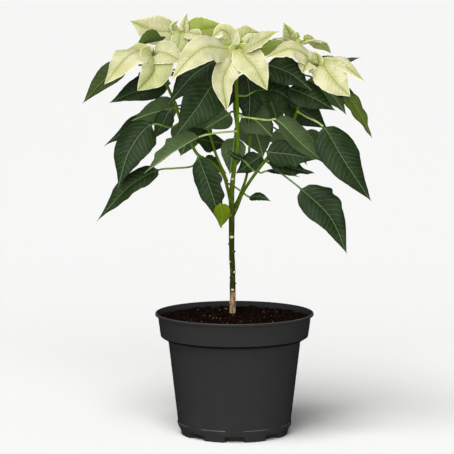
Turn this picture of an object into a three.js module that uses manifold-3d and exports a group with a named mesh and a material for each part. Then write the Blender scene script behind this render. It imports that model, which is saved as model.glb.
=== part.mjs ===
// A white poinsettia grown as a half-standard on one stem, in a black nursery pot with soil.
// Millimetres, +Z up. The origin is the middle of the pot's underside, and -Y is the front.
// Every leaf and bract is one closed blade, swept along its own stalk and midrib.

import * as THREE from "three";
import { mergeVertices } from "three/addons/utils/BufferGeometryUtils.js";
import loadManifold from "manifold-3d";

const wasm = await loadManifold();
wasm.setup();

// ---------------------------------------------------------------- driving dimensions

const GAP = 0.3; // between pieces that touch
const SLIVER = 0.03; // joins drop edges shorter than this
const WELD = 1e-4; // points nearer than this are one
const SEAT_RUN = 2; // a stalk leaves its branch straight for this far
const TOP_MARGIN = 0.5; // the soil's top rings start further than this over its wall
const CURVE_END = 0.9999; // a blade's last section stops just short of its curve's end
const UP = new THREE.Vector3(0, 0, 1);

const POT = {
  height: 131,
  wall: 1.6,
  floor: 2,
  footRadius: 56.5, // flat underside that the pot stands on
  heelRadius: 61.4, // where the flared foot meets the body
  heelHeight: 10.6,
  heelCurve: [[3.3, 1], [3, 4.4]], // inset and height of points of the flared foot
  innerFoot: [56.8, 5.3], // radius and height of the inner foot's corner
  neckRadius: 71.1, // top of the tapered body, under the rim band
  neckHeight: 100.8,
  stepRise: 4.6, // how far the slope under the band climbs
  bandRound: 0.9, // rounding of the band's lower edge
  bandFoot: 106.6, // height at which the rim band reaches its full step
  bandRadius: 79.3,
  bandTopRadius: 82.3,
  lipUnder: 127.8,
  lipRadius: 85.1,
  lipInner: 83.3,
  lipRound: 0.6,
  segments: 32,
};

// Each notch flares outwards, like an arch cut into the flared foot.
const NOTCH = {
  count: 8,
  height: 6.5,
  innerRadius: 50,
  innerFootHalf: 8.5,
  innerTopHalf: 5.2,
  outerRadius: 70,
  outerFootHalf: 17.8,
  outerTopHalf: 20.5,
  below: 1, // the cut starts this far under the foot
  drainRadius: 3.5,
  drainCentre: 54.8,
  drainSides: 8,
};

const SOIL = {
  wallHeight: 124.5, // level where it meets the pot
  crown: 130, // level round the stem
  fall: 1.6, // how the mound curves down to the wall
  holeX: -2, // the stem stands a little off the pot's middle
  holeRadius: 4.5,
  holeDepth: 27.5,
  rings: 4,
  lumps: 1.1,
  coarse: [0.19, 1.1, 0.23], // wave number and phase across, and wave number along, of the broad lumps
  fine: [0.6, 0.41, 0.37], // height and wave numbers of the small lumps
};

const BLADE = {
  thickness: 1,
  stalkRadius: 1,
  rib: 0.5, // how far the midrib stands out under the blade
  tipHalfWidth: 0.7,
  toothRise: 0.15, // share of the blade over which a tooth swells
  toothFall: 0.05, // share over which it drops back
  leastStation: 0.02, // stations of a blade lie further apart than this share
};

// How each kind of blade swells and tapers, and where it has its sections, as shares of its length.
const OUTLINE = {
  leaf: { rise: 0.6, fall: 1.35, stations: [0, 0.06, 0.2, 0.38, 0.58, 0.8, 1] },
  bract: { rise: 0.85, fall: 1.15, stations: [0, 0.16, 0.34, 0.55, 0.79, 1] },
};

// The two edges of a blade wave out of step, and both waves die out at its ends.
const WAVE = { leftPhase: 2.6, rightPhase: 0.9, fade: 0.6 };

// The button that a head's bracts grow from. A bract rises only past its elbow.
const HUB = {
  radius: 4, halfHeight: 4.4, around: 6, rows: 4, clawRadius: 2.4, elbowRadius: 9, elbowRise: 1,
};

// One small urn of the cluster on each head, and the pad that the cluster stands on.
const CUP = {
  radius: 1.8, halfHeight: 2.8, waist: 0.8, sides: 5, sunk: 1.26, spacing: 1.7,
  padHalfHeight: 1.2, padSides: 8,
};

const COLOUR = {
  pot: 0x2c2d2d,
  soil: 0x24140e,
  stem: 0x5b7030,
  leaf: 0x2f4a31,
  youngLeaf: 0x7c8f14,
  bract: 0xe0dfae,
  cup: 0xa9bf3e,
};

// ---------------------------------------------------------------- small helpers

const point = ([x, y, z]) => new THREE.Vector3(x, y, z);
const curveThrough = (points) => new THREE.CatmullRomCurve3(points, false, "centripetal");

function finish(colour, roughness) {
  return new THREE.MeshStandardMaterial({ color: colour, roughness, metalness: 0, side: THREE.DoubleSide });
}

function toSolid(geometry) {
  const bare = geometry.clone();
  bare.deleteAttribute("normal");
  bare.deleteAttribute("uv");
  const merged = mergeVertices(bare, WELD);
  const corners = merged.index.array;
  const triVerts = [];
  for (let i = 0; i < corners.length; i += 3) {
    const [a, b, c] = [corners[i], corners[i + 1], corners[i + 2]];
    if (a !== b && b !== c && c !== a) triVerts.push(a, b, c);
  }
  return new wasm.Manifold(
    new wasm.Mesh({
      numProp: 3,
      vertProperties: new Float32Array(merged.attributes.position.array),
      triVerts: new Uint32Array(triVerts),
    }),
  );
}

function toGeometry(solid) {
  const mesh = solid.getMesh();
  const geometry = new THREE.BufferGeometry();
  geometry.setAttribute("position", new THREE.Float32BufferAttribute(mesh.vertProperties, 3));
  geometry.setIndex([...mesh.triVerts]);
  geometry.computeVertexNormals();
  return geometry;
}

const joined = (solids) => solids.reduce((whole, solid) => whole.add(solid)).simplify(SLIVER);

/** Joins solids that grow from each other into one body, and fills any hollow that they seal. */
function oneBody(solids) {
  const shells = joined(solids).decompose();
  return shells.reduce((largest, shell) => (shell.volume() > largest.volume() ? shell : largest));
}

/** Turns a profile of [radius, height] pairs into a solid of revolution round Z. */
function turned(profile, segments) {
  const outline = profile.map(([r, z]) => new THREE.Vector2(r, z));
  return toSolid(new THREE.LatheGeometry(outline, segments).rotateX(Math.PI / 2));
}

/** Closes a row of rings into a skin. Quads named in mirrored are split along their other diagonal. */
function skin(rings, mirrored = []) {
  const count = rings[0].length;
  const faces = [];
  for (let i = 0; i + 1 < rings.length; i += 1) {
    for (let j = 0; j < count; j += 1) {
      const next = (j + 1) % count;
      const [a, b] = [i * count + j, i * count + next];
      const [d, c] = [a + count, b + count];
      if (mirrored.includes(j)) faces.push(a, b, d, b, c, d);
      else faces.push(a, b, c, a, c, d);
    }
  }
  const last = (rings.length - 1) * count;
  for (let j = 1; j + 1 < count; j += 1) {
    faces.push(0, j + 1, j);
    faces.push(last, last + j, last + j + 1);
  }
  const geometry = new THREE.BufferGeometry().setFromPoints(rings.flat());
  geometry.setIndex(faces);
  return geometry;
}

// ---------------------------------------------------------------- pot and soil

const mix = (a, b, share) => a + (b - a) * share;

function potOutside() {
  const p = POT;
  return [
    [0, 0],
    [p.footRadius, 0],
    ...p.heelCurve.map(([inset, height]) => [p.heelRadius - inset, height]),
    [p.heelRadius, p.heelHeight],
    [p.neckRadius, p.neckHeight],
    [p.bandRadius - p.bandRound, p.neckHeight + p.stepRise],
    [p.bandRadius, p.bandFoot],
    [p.bandTopRadius, p.lipUnder],
    [p.lipRadius, p.lipUnder + p.lipRound],
    [p.lipRadius, p.height - p.lipRound],
    [p.lipRadius - p.lipRound, p.height],
    [0, p.height],
  ];
}

/** The pot's inner face, moved inwards by clear, up to a flat top. */
function potInside(clear, top) {
  const p = POT;
  const inset = p.wall + clear;
  const rows = [
    [0, p.floor + clear],
    [p.innerFoot[0] - p.wall - clear, p.floor + clear],
    [p.innerFoot[0] - clear, p.innerFoot[1]],
    [p.heelRadius - inset, p.heelHeight],
    [p.neckRadius - inset, p.neckHeight + p.wall + clear],
    [p.bandRadius - p.bandRound - inset, p.neckHeight + p.stepRise + p.wall + clear],
    [p.bandRadius - inset, p.bandFoot + p.wall + clear],
    [p.bandTopRadius - inset, p.lipUnder - p.lipRound],
    [p.lipInner - clear, p.height - 2 * p.lipRound],
    [p.lipInner - clear, p.height + 2 * p.lipRound],
  ];
  const below = rows.filter(([, z]) => z < top);
  const [lastRadius, lastHeight] = below[below.length - 1];
  const [nextRadius, nextHeight] = rows[below.length] ?? [lastRadius, top];
  const share = nextHeight > lastHeight ? (top - lastHeight) / (nextHeight - lastHeight) : 0;
  return [...below, [mix(lastRadius, nextRadius, share), top], [0, top]];
}

/** The way out of each notch, with one at the front. */
function notchDirections() {
  return Array.from({ length: NOTCH.count }, (_, i) => {
    const angle = (i * 2 * Math.PI) / NOTCH.count - Math.PI / 2;
    return new THREE.Vector3(Math.cos(angle), Math.sin(angle), 0);
  });
}

/** The drainage notches round the foot, each grown by an amount on every side. */
function notches(grown) {
  const n = NOTCH;
  const top = n.height + grown;
  const end = (outward, along, radius, footHalf, topHalf) => {
    const corners = [[-footHalf, -n.below], [footHalf, -n.below], [topHalf, top], [-topHalf, top]];
    return corners.map(([across, z]) =>
      outward.clone().multiplyScalar(radius).addScaledVector(along, across).addScaledVector(UP, z),
    );
  };
  return joined(
    notchDirections().map((outward) => {
      const along = UP.clone().cross(outward);
      return toSolid(skin([
        end(outward, along, n.innerRadius - grown, n.innerFootHalf + grown, n.innerTopHalf + grown),
        end(outward, along, n.outerRadius, n.outerFootHalf + grown, n.outerTopHalf + grown),
      ]));
    }),
  );
}

/** One hole through the roof of each notch. */
function drainHoles() {
  const { drainRadius, drainCentre, drainSides, height } = NOTCH;
  return joined(
    notchDirections().map((outward) => {
      const hole = new THREE.CylinderGeometry(drainRadius, drainRadius, height, drainSides);
      hole.rotateX(Math.PI / 2).translate(outward.x * drainCentre, outward.y * drainCentre, height);
      return toSolid(hole);
    }),
  );
}

function potGeometry() {
  const outside = turned(potOutside(), POT.segments).subtract(notches(0));
  const inside = turned(potInside(0, POT.height + 1), POT.segments).subtract(notches(POT.wall));
  return toGeometry(outside.subtract(inside).subtract(drainHoles()));
}

/** Height of the soil's uneven top at a radius and a place on it. */
function soilLevel(radius, x, y) {
  const wallRadius = POT.bandTopRadius - POT.wall;
  const mound = mix(SOIL.crown, SOIL.wallHeight, (radius / wallRadius) ** SOIL.fall);
  const [across, phase, along] = SOIL.coarse;
  const [height, fineAcross, fineAlong] = SOIL.fine;
  const broad = Math.sin(across * x + phase) * Math.cos(along * y);
  return mound + SOIL.lumps * (broad + height * Math.sin(fineAcross * x - fineAlong * y));
}

function soilGeometry() {
  const full = potInside(GAP, SOIL.wallHeight);
  const wall = full.slice(0, -1);
  const wallRadius = wall[wall.length - 1][0];
  const floor = SOIL.crown - SOIL.holeDepth;
  const top = [];
  for (let i = 1; i <= SOIL.rings; i += 1) {
    const radius = mix(wallRadius, SOIL.holeRadius, i / SOIL.rings);
    top.push([radius, SOIL.wallHeight + i]);
  }
  const lathe = new THREE.LatheGeometry(
    [...wall, ...top, [SOIL.holeRadius, floor], [0, floor]].map(([r, z]) => new THREE.Vector2(r, z)),
    POT.segments,
  ).rotateX(Math.PI / 2);
  const place = lathe.attributes.position;
  for (let i = 0; i < place.count; i += 1) {
    const [x, y, z] = [place.getX(i), place.getY(i), place.getZ(i)];
    const radius = Math.hypot(x, y);
    const onTop = z > SOIL.wallHeight + TOP_MARGIN;
    if (onTop) place.setZ(i, soilLevel(radius, x, y));
    if (onTop || z === floor) place.setX(i, x + SOIL.holeX * (1 - radius / wallRadius));
  }
  return toGeometry(toSolid(lathe).subtract(notches(POT.wall + GAP)));
}

// ---------------------------------------------------------------- stem and branches

// Each branch is a list of points from its root to the foot of its flower head, with the radius
// at each end. The first point of a side branch lies inside the branch that carries it.
const BRANCH = {
  main: {
    points: [
      [-2, 0, 102.8], [-2, 0, 131], [-2, 1, 155], [-2, 2, 176], [-3, 2, 197], [-3, 1, 212], [-3, 0, 236],
      [-3, 0, 259], [-1, 0, 281], [3, 0, 310], [3, 0, 332], [3, -3, 352], [2, -9, 376], [4, -16, 398],
      [5, -19, 406], [5, -19, 409],
    ],
    radii: [3.9, 3.6, 3.1, 3, 3, 3, 3.2, 3, 2.4, 2.2, 2.1, 2, 1.9, 1.9, 2, 2],
    sides: 8,
    steps: 15,
  },
  right: {
    points: [
      [-3, 1, 232], [3, 3, 245], [8, 4, 258], [16, 5, 271], [26, 6, 285], [36, 6, 298], [50, 4, 317],
      [64, 0, 340], [70, -4, 358], [82, -8, 380], [88, -10, 389], [88, -10, 392],
    ],
    radii: [2, 1.9, 1.8, 1.7, 1.7, 1.7, 1.7, 1.6, 1.6, 1.6, 1.8, 1.8],
    sides: 6,
    steps: 10,
  },
  inner: {
    points: [
      [-3, 1, 240], [4, 8, 252], [9, 13, 264], [13, 18, 276], [16, 26, 304], [17, 30, 317], [20, 33, 328],
      [26, 36, 340], [44, 42, 376], [60, 45, 401], [68, 45, 411], [68, 45, 414],
    ],
    radii: [1.7, 1.6, 1.5, 1.4, 1.4, 1.4, 1.5, 1.5, 1.5, 1.6, 1.8, 1.8],
    sides: 6,
    steps: 10,
  },
  left: {
    points: [
      [-4, 0, 250], [-7, 0, 263], [-12, -1, 279], [-24, -2, 292], [-39, -3, 301], [-47, -4, 315],
      [-54, -5, 329], [-67, -8, 365], [-79, -10, 388], [-89, -10, 398], [-89, -10, 401],
    ],
    radii: [2, 1.8, 1.7, 1.7, 1.7, 1.7, 1.7, 1.6, 1.6, 1.8, 1.8],
    sides: 6,
    steps: 10,
  },
  backLeft: {
    points: [
      [-8, 0, 272], [-13, 8, 284], [-20, 17, 300], [-31, 29, 336], [-43, 38, 378], [-53, 44, 408],
      [-56, 45, 421], [-56, 45, 424],
    ],
    radii: [1.7, 1.5, 1.5, 1.5, 1.5, 1.6, 1.8, 1.8],
    sides: 6,
    steps: 8,
  },
  back: {
    points: [
      [3, 0, 324], [2, 12, 334], [0, 34, 350], [1, 58, 374], [5, 76, 396], [6, 80, 404], [6, 80, 407],
    ],
    radii: [1.7, 1.6, 1.6, 1.6, 1.6, 1.8, 1.8],
    sides: 6,
    steps: 7,
  },
};

// Old leaf scars and knobs: branch, share of its length, turn round it in degrees, size.
const SCARS = [
  ["main", 0.333, -90, 2.4], ["main", 0.267, -10, 1.9], ["main", 0.231, -150, 1.6],
  ["main", 0.193, -35, 2], ["main", 0.157, 0, 1.6], ["main", 0.137, -90, 1.8], ["main", 0.097, -140, 1.5],
  ["main", 0.515, -100, 1.9], ["right", 0.3, -60, 1.3], ["right", 0.47, 120, 1.3],
  ["left", 0.36, -80, 1.3],
];

// A scar is a small flat ball: how deep it sits and how flat it is, as shares of its size, and its faces.
const SCAR = { sunk: 0.3, flat: 0.6, around: 5, rows: 4 };

/** Radius of a branch at a share of its curve. */
function branchRadius(branch, share) {
  const place = share * (branch.radii.length - 1);
  const index = Math.min(Math.floor(place), branch.radii.length - 2);
  return mix(branch.radii[index], branch.radii[index + 1], place - index);
}

// The centre and radius of every ring that a branch is made of.
for (const branch of Object.values(BRANCH)) {
  branch.curve = curveThrough(branch.points.map(point));
  branch.joints = Array.from({ length: branch.steps + 1 }, (_, i) => {
    const share = branch.curve.getUtoTmapping(i / branch.steps);
    return { centre: branch.curve.getPoint(share), radius: branchRadius(branch, share) };
  });
}

function branchSolid(branch) {
  const frames = branch.curve.computeFrenetFrames(branch.steps, false);
  const rings = branch.joints.map(({ centre, radius }, i) => {
    const ring = [];
    for (let j = 0; j < branch.sides; j += 1) {
      const angle = (j * 2 * Math.PI) / branch.sides;
      const side = frames.normals[i].clone().multiplyScalar(radius * Math.cos(angle));
      ring.push(side.addScaledVector(frames.binormals[i], radius * Math.sin(angle)).add(centre));
    }
    return ring;
  });
  return toSolid(skin(rings));
}

function scarSolid([name, share, turn, size]) {
  const branch = BRANCH[name];
  const centre = branch.curve.getPoint(share);
  const angle = THREE.MathUtils.degToRad(turn);
  const reach = branchRadius(branch, share) - size * SCAR.sunk;
  const bump = new THREE.SphereGeometry(size, SCAR.around, SCAR.rows).scale(1, 1, SCAR.flat);
  bump.translate(centre.x + reach * Math.cos(angle), centre.y + reach * Math.sin(angle), centre.z);
  return toSolid(bump);
}

function stemGeometry() {
  return toGeometry(oneBody([...Object.values(BRANCH).map(branchSolid), ...SCARS.map(scarSolid)]));
}

// ---------------------------------------------------------------- blades

/** Share of the full half width at t, from the blade's base (0) to its tip (1). */
function outline(t, { rise, fall }) {
  const widest = rise / (rise + fall);
  return (t / widest) ** rise * ((1 - t) / (1 - widest)) ** fall;
}

/** How much the teeth of one side widen the blade at t. */
function toothAt(t, side, teeth) {
  let extra = 0;
  for (const [toothSide, place, size] of teeth) {
    if (toothSide !== side) continue;
    const away = t - place;
    const slope = away < 0 ? 1 + away / BLADE.toothRise : 1 - away / BLADE.toothFall;
    extra += size * Math.max(0, slope);
  }
  return extra;
}

/** Height of a blade's edge over its midrib plane: its waves, which die out at both ends. */
function waveAt(t, side, wave, ripples) {
  const phase = side > 0 ? WAVE.rightPhase : WAVE.leftPhase;
  return wave * Math.sin(2 * Math.PI * ripples * t + phase) * Math.sin(Math.PI * t) ** WAVE.fade;
}

function ringAt(centre, right, over, sides, edgeHalf, midTop, midUnder) {
  const at = (across, height) => centre.clone().addScaledVector(right, across).addScaledVector(over, height);
  const [[leftAcross, leftLift], [rightAcross, rightLift]] = sides;
  return [
    at(-leftAcross, leftLift + edgeHalf), at(0, midTop), at(rightAcross, rightLift + edgeHalf),
    at(rightAcross, rightLift - edgeHalf), at(0, -midUnder), at(-leftAcross, leftLift - edgeHalf),
  ];
}

/**
 * One leaf or bract. stalk holds the points from its seat to the blade's base, blade the points of
 * the midrib from base to tip. looks is the way its upper face points, width is the full width, fold
 * lifts both halves by an angle in degrees, and wave and ripples are the edge's height and count.
 * teeth lists the side, place and size of each tooth.
 */
function bladeGeometry(stalk, blade, looks, kind, { width, fold = 0, wave = 0, ripples = 2, teeth = [] }) {
  const curve = curveThrough([...stalk, ...blade]);
  const lengths = curve.getLengths();
  const baseMark = Math.round(((lengths.length - 1) * stalk.length) / (stalk.length + blade.length - 1));
  const base = lengths[baseMark] / lengths[lengths.length - 1];
  const facing = point(looks).normalize();
  const shape = OUTLINE[kind];
  const stations = [...shape.stations];
  for (const [, place] of teeth) {
    for (const t of [place, place + BLADE.toothFall]) {
      if (stations.every((other) => Math.abs(other - t) > BLADE.leastStation)) stations.push(t);
    }
  }
  stations.sort((a, b) => a - b);

  const rings = [];
  const bladeFrames = stations.map((t) => {
    const share = curve.getUtoTmapping(Math.min(mix(base, 1, t), CURVE_END));
    const along = curve.getTangent(share).normalize();
    return { t, centre: curve.getPoint(share), along, right: along.clone().cross(facing).normalize() };
  });

  let right = bladeFrames[0].right;
  const steps = stalk.length;
  for (let i = steps - 1; i >= 0; i -= 1) {
    const share = curve.getUtoTmapping((base * i) / steps);
    const along = curve.getTangent(share).normalize();
    right = right.clone().addScaledVector(along, -right.dot(along)).normalize();
    const over = right.clone().cross(along);
    const r = BLADE.stalkRadius;
    rings.unshift(ringAt(curve.getPoint(share), right, over, [[r, 0], [r, 0]], r / 2, r, r));
  }

  const angle = THREE.MathUtils.degToRad(fold);
  for (const { t, centre, along, right: across } of bladeFrames) {
    const over = across.clone().cross(along);
    const sides = [-1, 1].map((side) => {
      const tooth = toothAt(t, side, teeth) * Math.sqrt(Math.sin(Math.PI * t));
      const full = (width / 2) * (outline(t, shape) + tooth);
      const least = t === 0 ? BLADE.stalkRadius : BLADE.tipHalfWidth;
      const half = Math.max(full, least);
      const lift = half * Math.sin(angle) + waveAt(t, side, wave, ripples);
      return [half * Math.cos(angle), lift];
    });
    const half = BLADE.thickness / 2;
    rings.push(ringAt(centre, across, over, sides, half, half, half + BLADE.rib * (1 - t)));
  }
  return skin(rings, [3, 4]);
}

// ---------------------------------------------------------------- leaves

const LEFT = -1; // seen from the upper face with the tip up
const RIGHT = 1;

// name, carrying branch, stalk points, midrib from base to tip, way the upper face points, options
const LEAVES = [
  ["leaf_front", "main", [[-7, -26, 386]], [[-22, -38, 378], [-40, -52, 353], [-61, -56, 326]],
    [0.3, -1, 0.25], { width: 44, fold: 6, wave: 1.5 }],
  ["leaf_left_upper", "left", [[-68, -16, 331]], [[-87, -26, 335], [-110, -42, 309], [-122, -52, 270]],
    [-0.3, -1, 0.3], { width: 41, fold: -8, wave: 1.5 }],
  ["leaf_left_behind", "backLeft", [[-45, 28, 352]], [[-70, 24, 350], [-107, 34, 331], [-141, 32, 307]],
    [0, -0.5, 0.85], { width: 36, fold: -5, wave: 1.5 }],
  ["leaf_left_pale", "left", [[-56, 4, 346]], [[-60, 6, 350], [-84, 3, 346], [-110, -3, 337]],
    [0, 0.9, 0.35], { width: 30, fold: 5 }],
  ["leaf_left_low", "left", [[-44, -12, 290], [-63, -20, 288]],
    [[-80, -28, 287], [-109, -40, 272], [-145, -46, 234]], [-0.3, -0.75, 0.6],
    { width: 27, fold: 8, wave: 1.5, teeth: [[LEFT, 0.3, 0.15], [LEFT, 0.55, 0.12]] }],
  ["leaf_left_folded", "main", [[-23, -22, 325]], [[-38, -32, 322], [-66, -42, 306], [-95, -46, 285]],
    [0, 0.7, 0.7], { width: 27, fold: 38, teeth: [[LEFT, 0.45, 0.25], [LEFT, 0.7, 0.2]] }],
  ["leaf_hanging", "left", [[-40, -12, 303]], [[-38, -20, 299], [-25, -30, 265], [-13, -28, 224]],
    [-0.2, -1, 0.1],
    { width: 27, fold: 5, wave: 1, teeth: [[LEFT, 0.38, 0.3], [LEFT, 0.58, 0.2], [RIGHT, 0.55, 0.1]] }],
  ["leaf_young", "main", [[-6, -12, 236], [-9, -32, 245]],
    [[-15, -37, 252], [-13, -39, 242], [-15, -38, 226]], [-0.1, -1, 0], { width: 18 }],
  ["leaf_left_inner", "left", [[-34, 6, 298]], [[-32, 10, 296], [-21, 14, 288], [-8, 16, 279]],
    [0, -0.8, 0.6], { width: 18 }],
  ["leaf_left_shade", "left", [[-46, 6, 316]], [[-45, 14, 317], [-29, 32, 313], [-4, 40, 308]],
    [0, -0.8, 0.6], { width: 34 }],
  ["leaf_right_low", "right", [[50, -4, 281]], [[70, -16, 266], [101, -30, 237], [119, -34, 198]],
    [0.1, -1, 0.3], { width: 37, fold: 6, wave: 1.5, teeth: [[LEFT, 0.28, 0.22], [LEFT, 0.45, 0.15]] }],
  ["leaf_right", "right", [[76, -12, 342]], [[93, -32, 333], [115, -54, 298], [143, -54, 256]],
    [0.25, -1, 0.3], { width: 43, fold: -6, wave: 1.5, teeth: [[RIGHT, 0.6, 0.06]] }],
  ["leaf_right_pale", "main", [[36, -18, 339]], [[44, -24, 340], [74, -32, 312], [101, -26, 291]],
    [0.3, 0.7, 0.7], { width: 36, fold: 6 }],
  ["leaf_far_left", "left", [[-101, 2, 396]], [[-113, 6, 397], [-138, 6, 381], [-162, 2, 355]],
    [-0.2, -0.9, 0.4], { width: 26, fold: 8 }],
  ["leaf_left_dark", "left", [[-72, 2, 378]], [[-69, 10, 376], [-101, 16, 369], [-134, 12, 355]],
    [0, -0.8, 0.6], { width: 36, fold: 8 }],
  ["leaf_left_slim", "left", [[-66, -8, 351]], [[-69, -9, 348], [-76, -10, 335], [-86, -12, 318]],
    [0, -1, 0.2], { width: 20 }],
  ["leaf_behind_left", "main", [[-3, 12, 346]], [[-5, 14, 344], [-16, 16, 337], [-32, 18, 327]],
    [0, 0.9, 0.4], { width: 28 }],
  ["leaf_behind_right", "main", [[8, 8, 342]], [[9, 12, 345], [24, 19, 335], [41, 20, 318]], [0, 1, 0.1],
    { width: 38 }],
  ["leaf_mid_right", "right", [[39, -6, 306]], [[34, -9, 305], [60, -12, 302], [87, -18, 297]],
    [0.1, -1, 0.2], { width: 29, wave: 1, teeth: [[LEFT, 0.6, 0.3], [RIGHT, 0.65, 0.3]] }],
  ["leaf_mid_wavy", "right", [[35, -3, 294]], [[36, -5, 296], [57, -5, 288], [86, -4, 281]],
    [0, -0.75, 0.65], { width: 22, wave: 2, ripples: 3 }],
  ["leaf_centre_wavy", "main", [[12, -8, 364]], [[22, -9, 369], [45, -11, 369], [66, -12, 354]],
    [0, -0.8, 0.6], { width: 33, wave: 2.5, ripples: 3 }],
  ["leaf_right_slim", "right", [[28, 0, 281]], [[34, 2, 283], [52, 6, 281], [70, 8, 276]], [0, -0.3, 1],
    { width: 13 }],
  ["leaf_small_low", "left", [[-9, 5, 270], [-2, 7, 267], [8, 8, 260]],
    [[16, 4, 255], [26, 0, 256], [39, -3, 251]], [0, -0.6, 0.8], { width: 14 }],
  ["leaf_small_front", "right", [[19, -2, 285]], [[9, -12, 296], [0, -16, 301], [-10, -18, 309]],
    [0, -0.8, -0.5], { width: 8 }],
  ["leaf_centre_low", "inner", [[25, 18, 300]], [[28, 16, 299], [15, 13, 289], [1, 13, 279]],
    [0, -0.9, 0.4], { width: 23, wave: 1 }],
  ["leaf_centre_hanging", "main", [[1, 6, 322]], [[0, 9, 318], [-2, 11, 300], [-5, 12, 278]], [0, 1, 0.2],
    { width: 27 }],
  ["leaf_right_top", "right", [[62, -8, 378], [46, -16, 394]],
    [[34, -22, 398], [58, -28, 389], [81, -30, 371]], [0, -0.8, 0.6], { width: 37, wave: 2, ripples: 3 }],
  ["leaf_right_dark", "right", [[66, -12, 370]], [[58, -16, 373], [82, -22, 363], [107, -24, 349]],
    [0, -0.8, 0.6], { width: 33 }],
  ["leaf_right_tucked", "right", [[62, 9, 358]], [[55, 14, 357], [78, 18, 343], [100, 14, 327]],
    [0, -0.9, 0.4], { width: 36 }],
  ["leaf_right_olive", "right", [[68, 6, 333]], [[76, 8, 326], [89, 6, 308], [106, 4, 284]],
    [0.2, 0.8, 0.5], { width: 26 }],
  ["leaf_right_turning", "right", [[98, -15, 378]], [[113, -22, 371], [129, -26, 351], [145, -24, 320]],
    [0.3, -0.9, 0.3], { width: 17, wave: 2, ripples: 3 }],
  ["leaf_right_back", "inner", [[68, 37, 401]], [[80, 37, 400], [108, 40, 398], [136, 42, 402]],
    [0, -0.7, 0.7], { width: 16, wave: 1.5 }],
  ["leaf_right_point", "right", [[97, 0, 378]], [[104, 6, 373], [119, 8, 366], [132, 6, 354]],
    [0, -0.8, 0.6], { width: 18 }],
  ["leaf_over_left", "backLeft", [[-69, 38, 412], [-77, 24, 416]],
    [[-77, 10, 422], [-90, 3, 420], [-106, -3, 415]], [0, -0.45, 1], { width: 28, fold: 44 }],
  ["leaf_under_front", "main", [[-3, -14, 399], [-10, -19, 402]],
    [[-18, -20, 402], [-42, -24, 388], [-70, -26, 356]], [0, -0.9, 0.5], { width: 34 }],
  ["leaf_behind_front", "main", [[8, 0, 390]], [[11, 4, 389], [16, 6, 366], [15, 5, 331]], [0, -1, 0.3],
    { width: 37 }],
  ["leaf_centre_back", "main", [[-4, 2, 386]], [[-6, 7, 382], [-8, 10, 364], [-9, 8, 347]], [0, -1, 0.3],
    { width: 30 }],
  ["leaf_back_low_left", "backLeft", [[-36, 38, 337]], [[-40, 46, 334], [-50, 62, 315], [-59, 78, 292]],
    [-0.3, 0.9, 0.3], { width: 46, wave: 1.5, teeth: [[RIGHT, 0.4, 0.2]] }],
  ["leaf_back_low_middle", "back", [[2, 44, 344]], [[12, 52, 338], [24, 68, 318], [32, 82, 290]],
    [0, 0.9, 0.3], { width: 44, wave: 1.5 }],
  ["leaf_back_low_right", "inner", [[36, 42, 330]], [[46, 50, 324], [64, 66, 308], [80, 78, 282]],
    [0.4, 0.8, 0.3], { width: 40, wave: 1.5, teeth: [[LEFT, 0.45, 0.2]] }],
  ["leaf_back_high_left", "backLeft", [[-60, 60, 388]],
    [[-74, 72, 388], [-90, 96, 378], [-100, 114, 354]], [-0.4, 0.8, 0.5], { width: 40, wave: 1.5 }],
  ["leaf_back_high_middle", "back", [[-2, 84, 388]], [[-8, 98, 384], [-18, 128, 364], [-24, 142, 336]],
    [-0.1, 0.9, 0.45], { width: 40, wave: 1.5, teeth: [[LEFT, 0.4, 0.15]] }],
  ["leaf_back_high_right", "inner", [[68, 58, 384]], [[84, 68, 380], [106, 90, 362], [124, 100, 336]],
    [0.4, 0.8, 0.5], { width: 40, wave: 1.5 }],
  ["leaf_back_under_left", "back", [[-9, 66, 376]], [[-16, 74, 374], [-22, 88, 352], [-30, 102, 324]],
    [-0.2, 0.9, 0.3], { width: 42, wave: 1.5 }],
  ["leaf_back_under_right", "back", [[14, 66, 376]], [[26, 74, 374], [40, 88, 352], [50, 100, 322]],
    [0.2, 0.9, 0.3], { width: 42, wave: 1.5 }],
];

/** The seat of a stalk: a gap off its branch, where the branch is nearest to the stalk's next point. */
function seatOn(branch, next) {
  let nearest = { away: Infinity };
  for (let i = 0; i < branch.steps; i += 1) {
    const [from, to] = [branch.joints[i], branch.joints[i + 1]];
    const axis = new THREE.Line3(from.centre, to.centre);
    const share = axis.closestPointToPointParameter(next, true);
    const centre = axis.at(share, new THREE.Vector3());
    const away = centre.distanceTo(next);
    if (away < nearest.away) nearest = { away, centre, radius: mix(from.radius, to.radius, share) };
  }
  const outward = next.clone().sub(nearest.centre).normalize();
  const seat = nearest.centre.clone().addScaledVector(outward, nearest.radius + GAP);
  return [seat, seat.clone().addScaledVector(outward, SEAT_RUN)];
}

function leafGeometry([, branchName, stalk, blade, looks, options]) {
  const stalkPoints = stalk.map(point);
  const wholeStalk = [...seatOn(BRANCH[branchName], stalkPoints[0]), ...stalkPoints];
  return bladeGeometry(wholeStalk, blade.map(point), looks, "leaf", options);
}

// ---------------------------------------------------------------- flower heads

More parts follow.
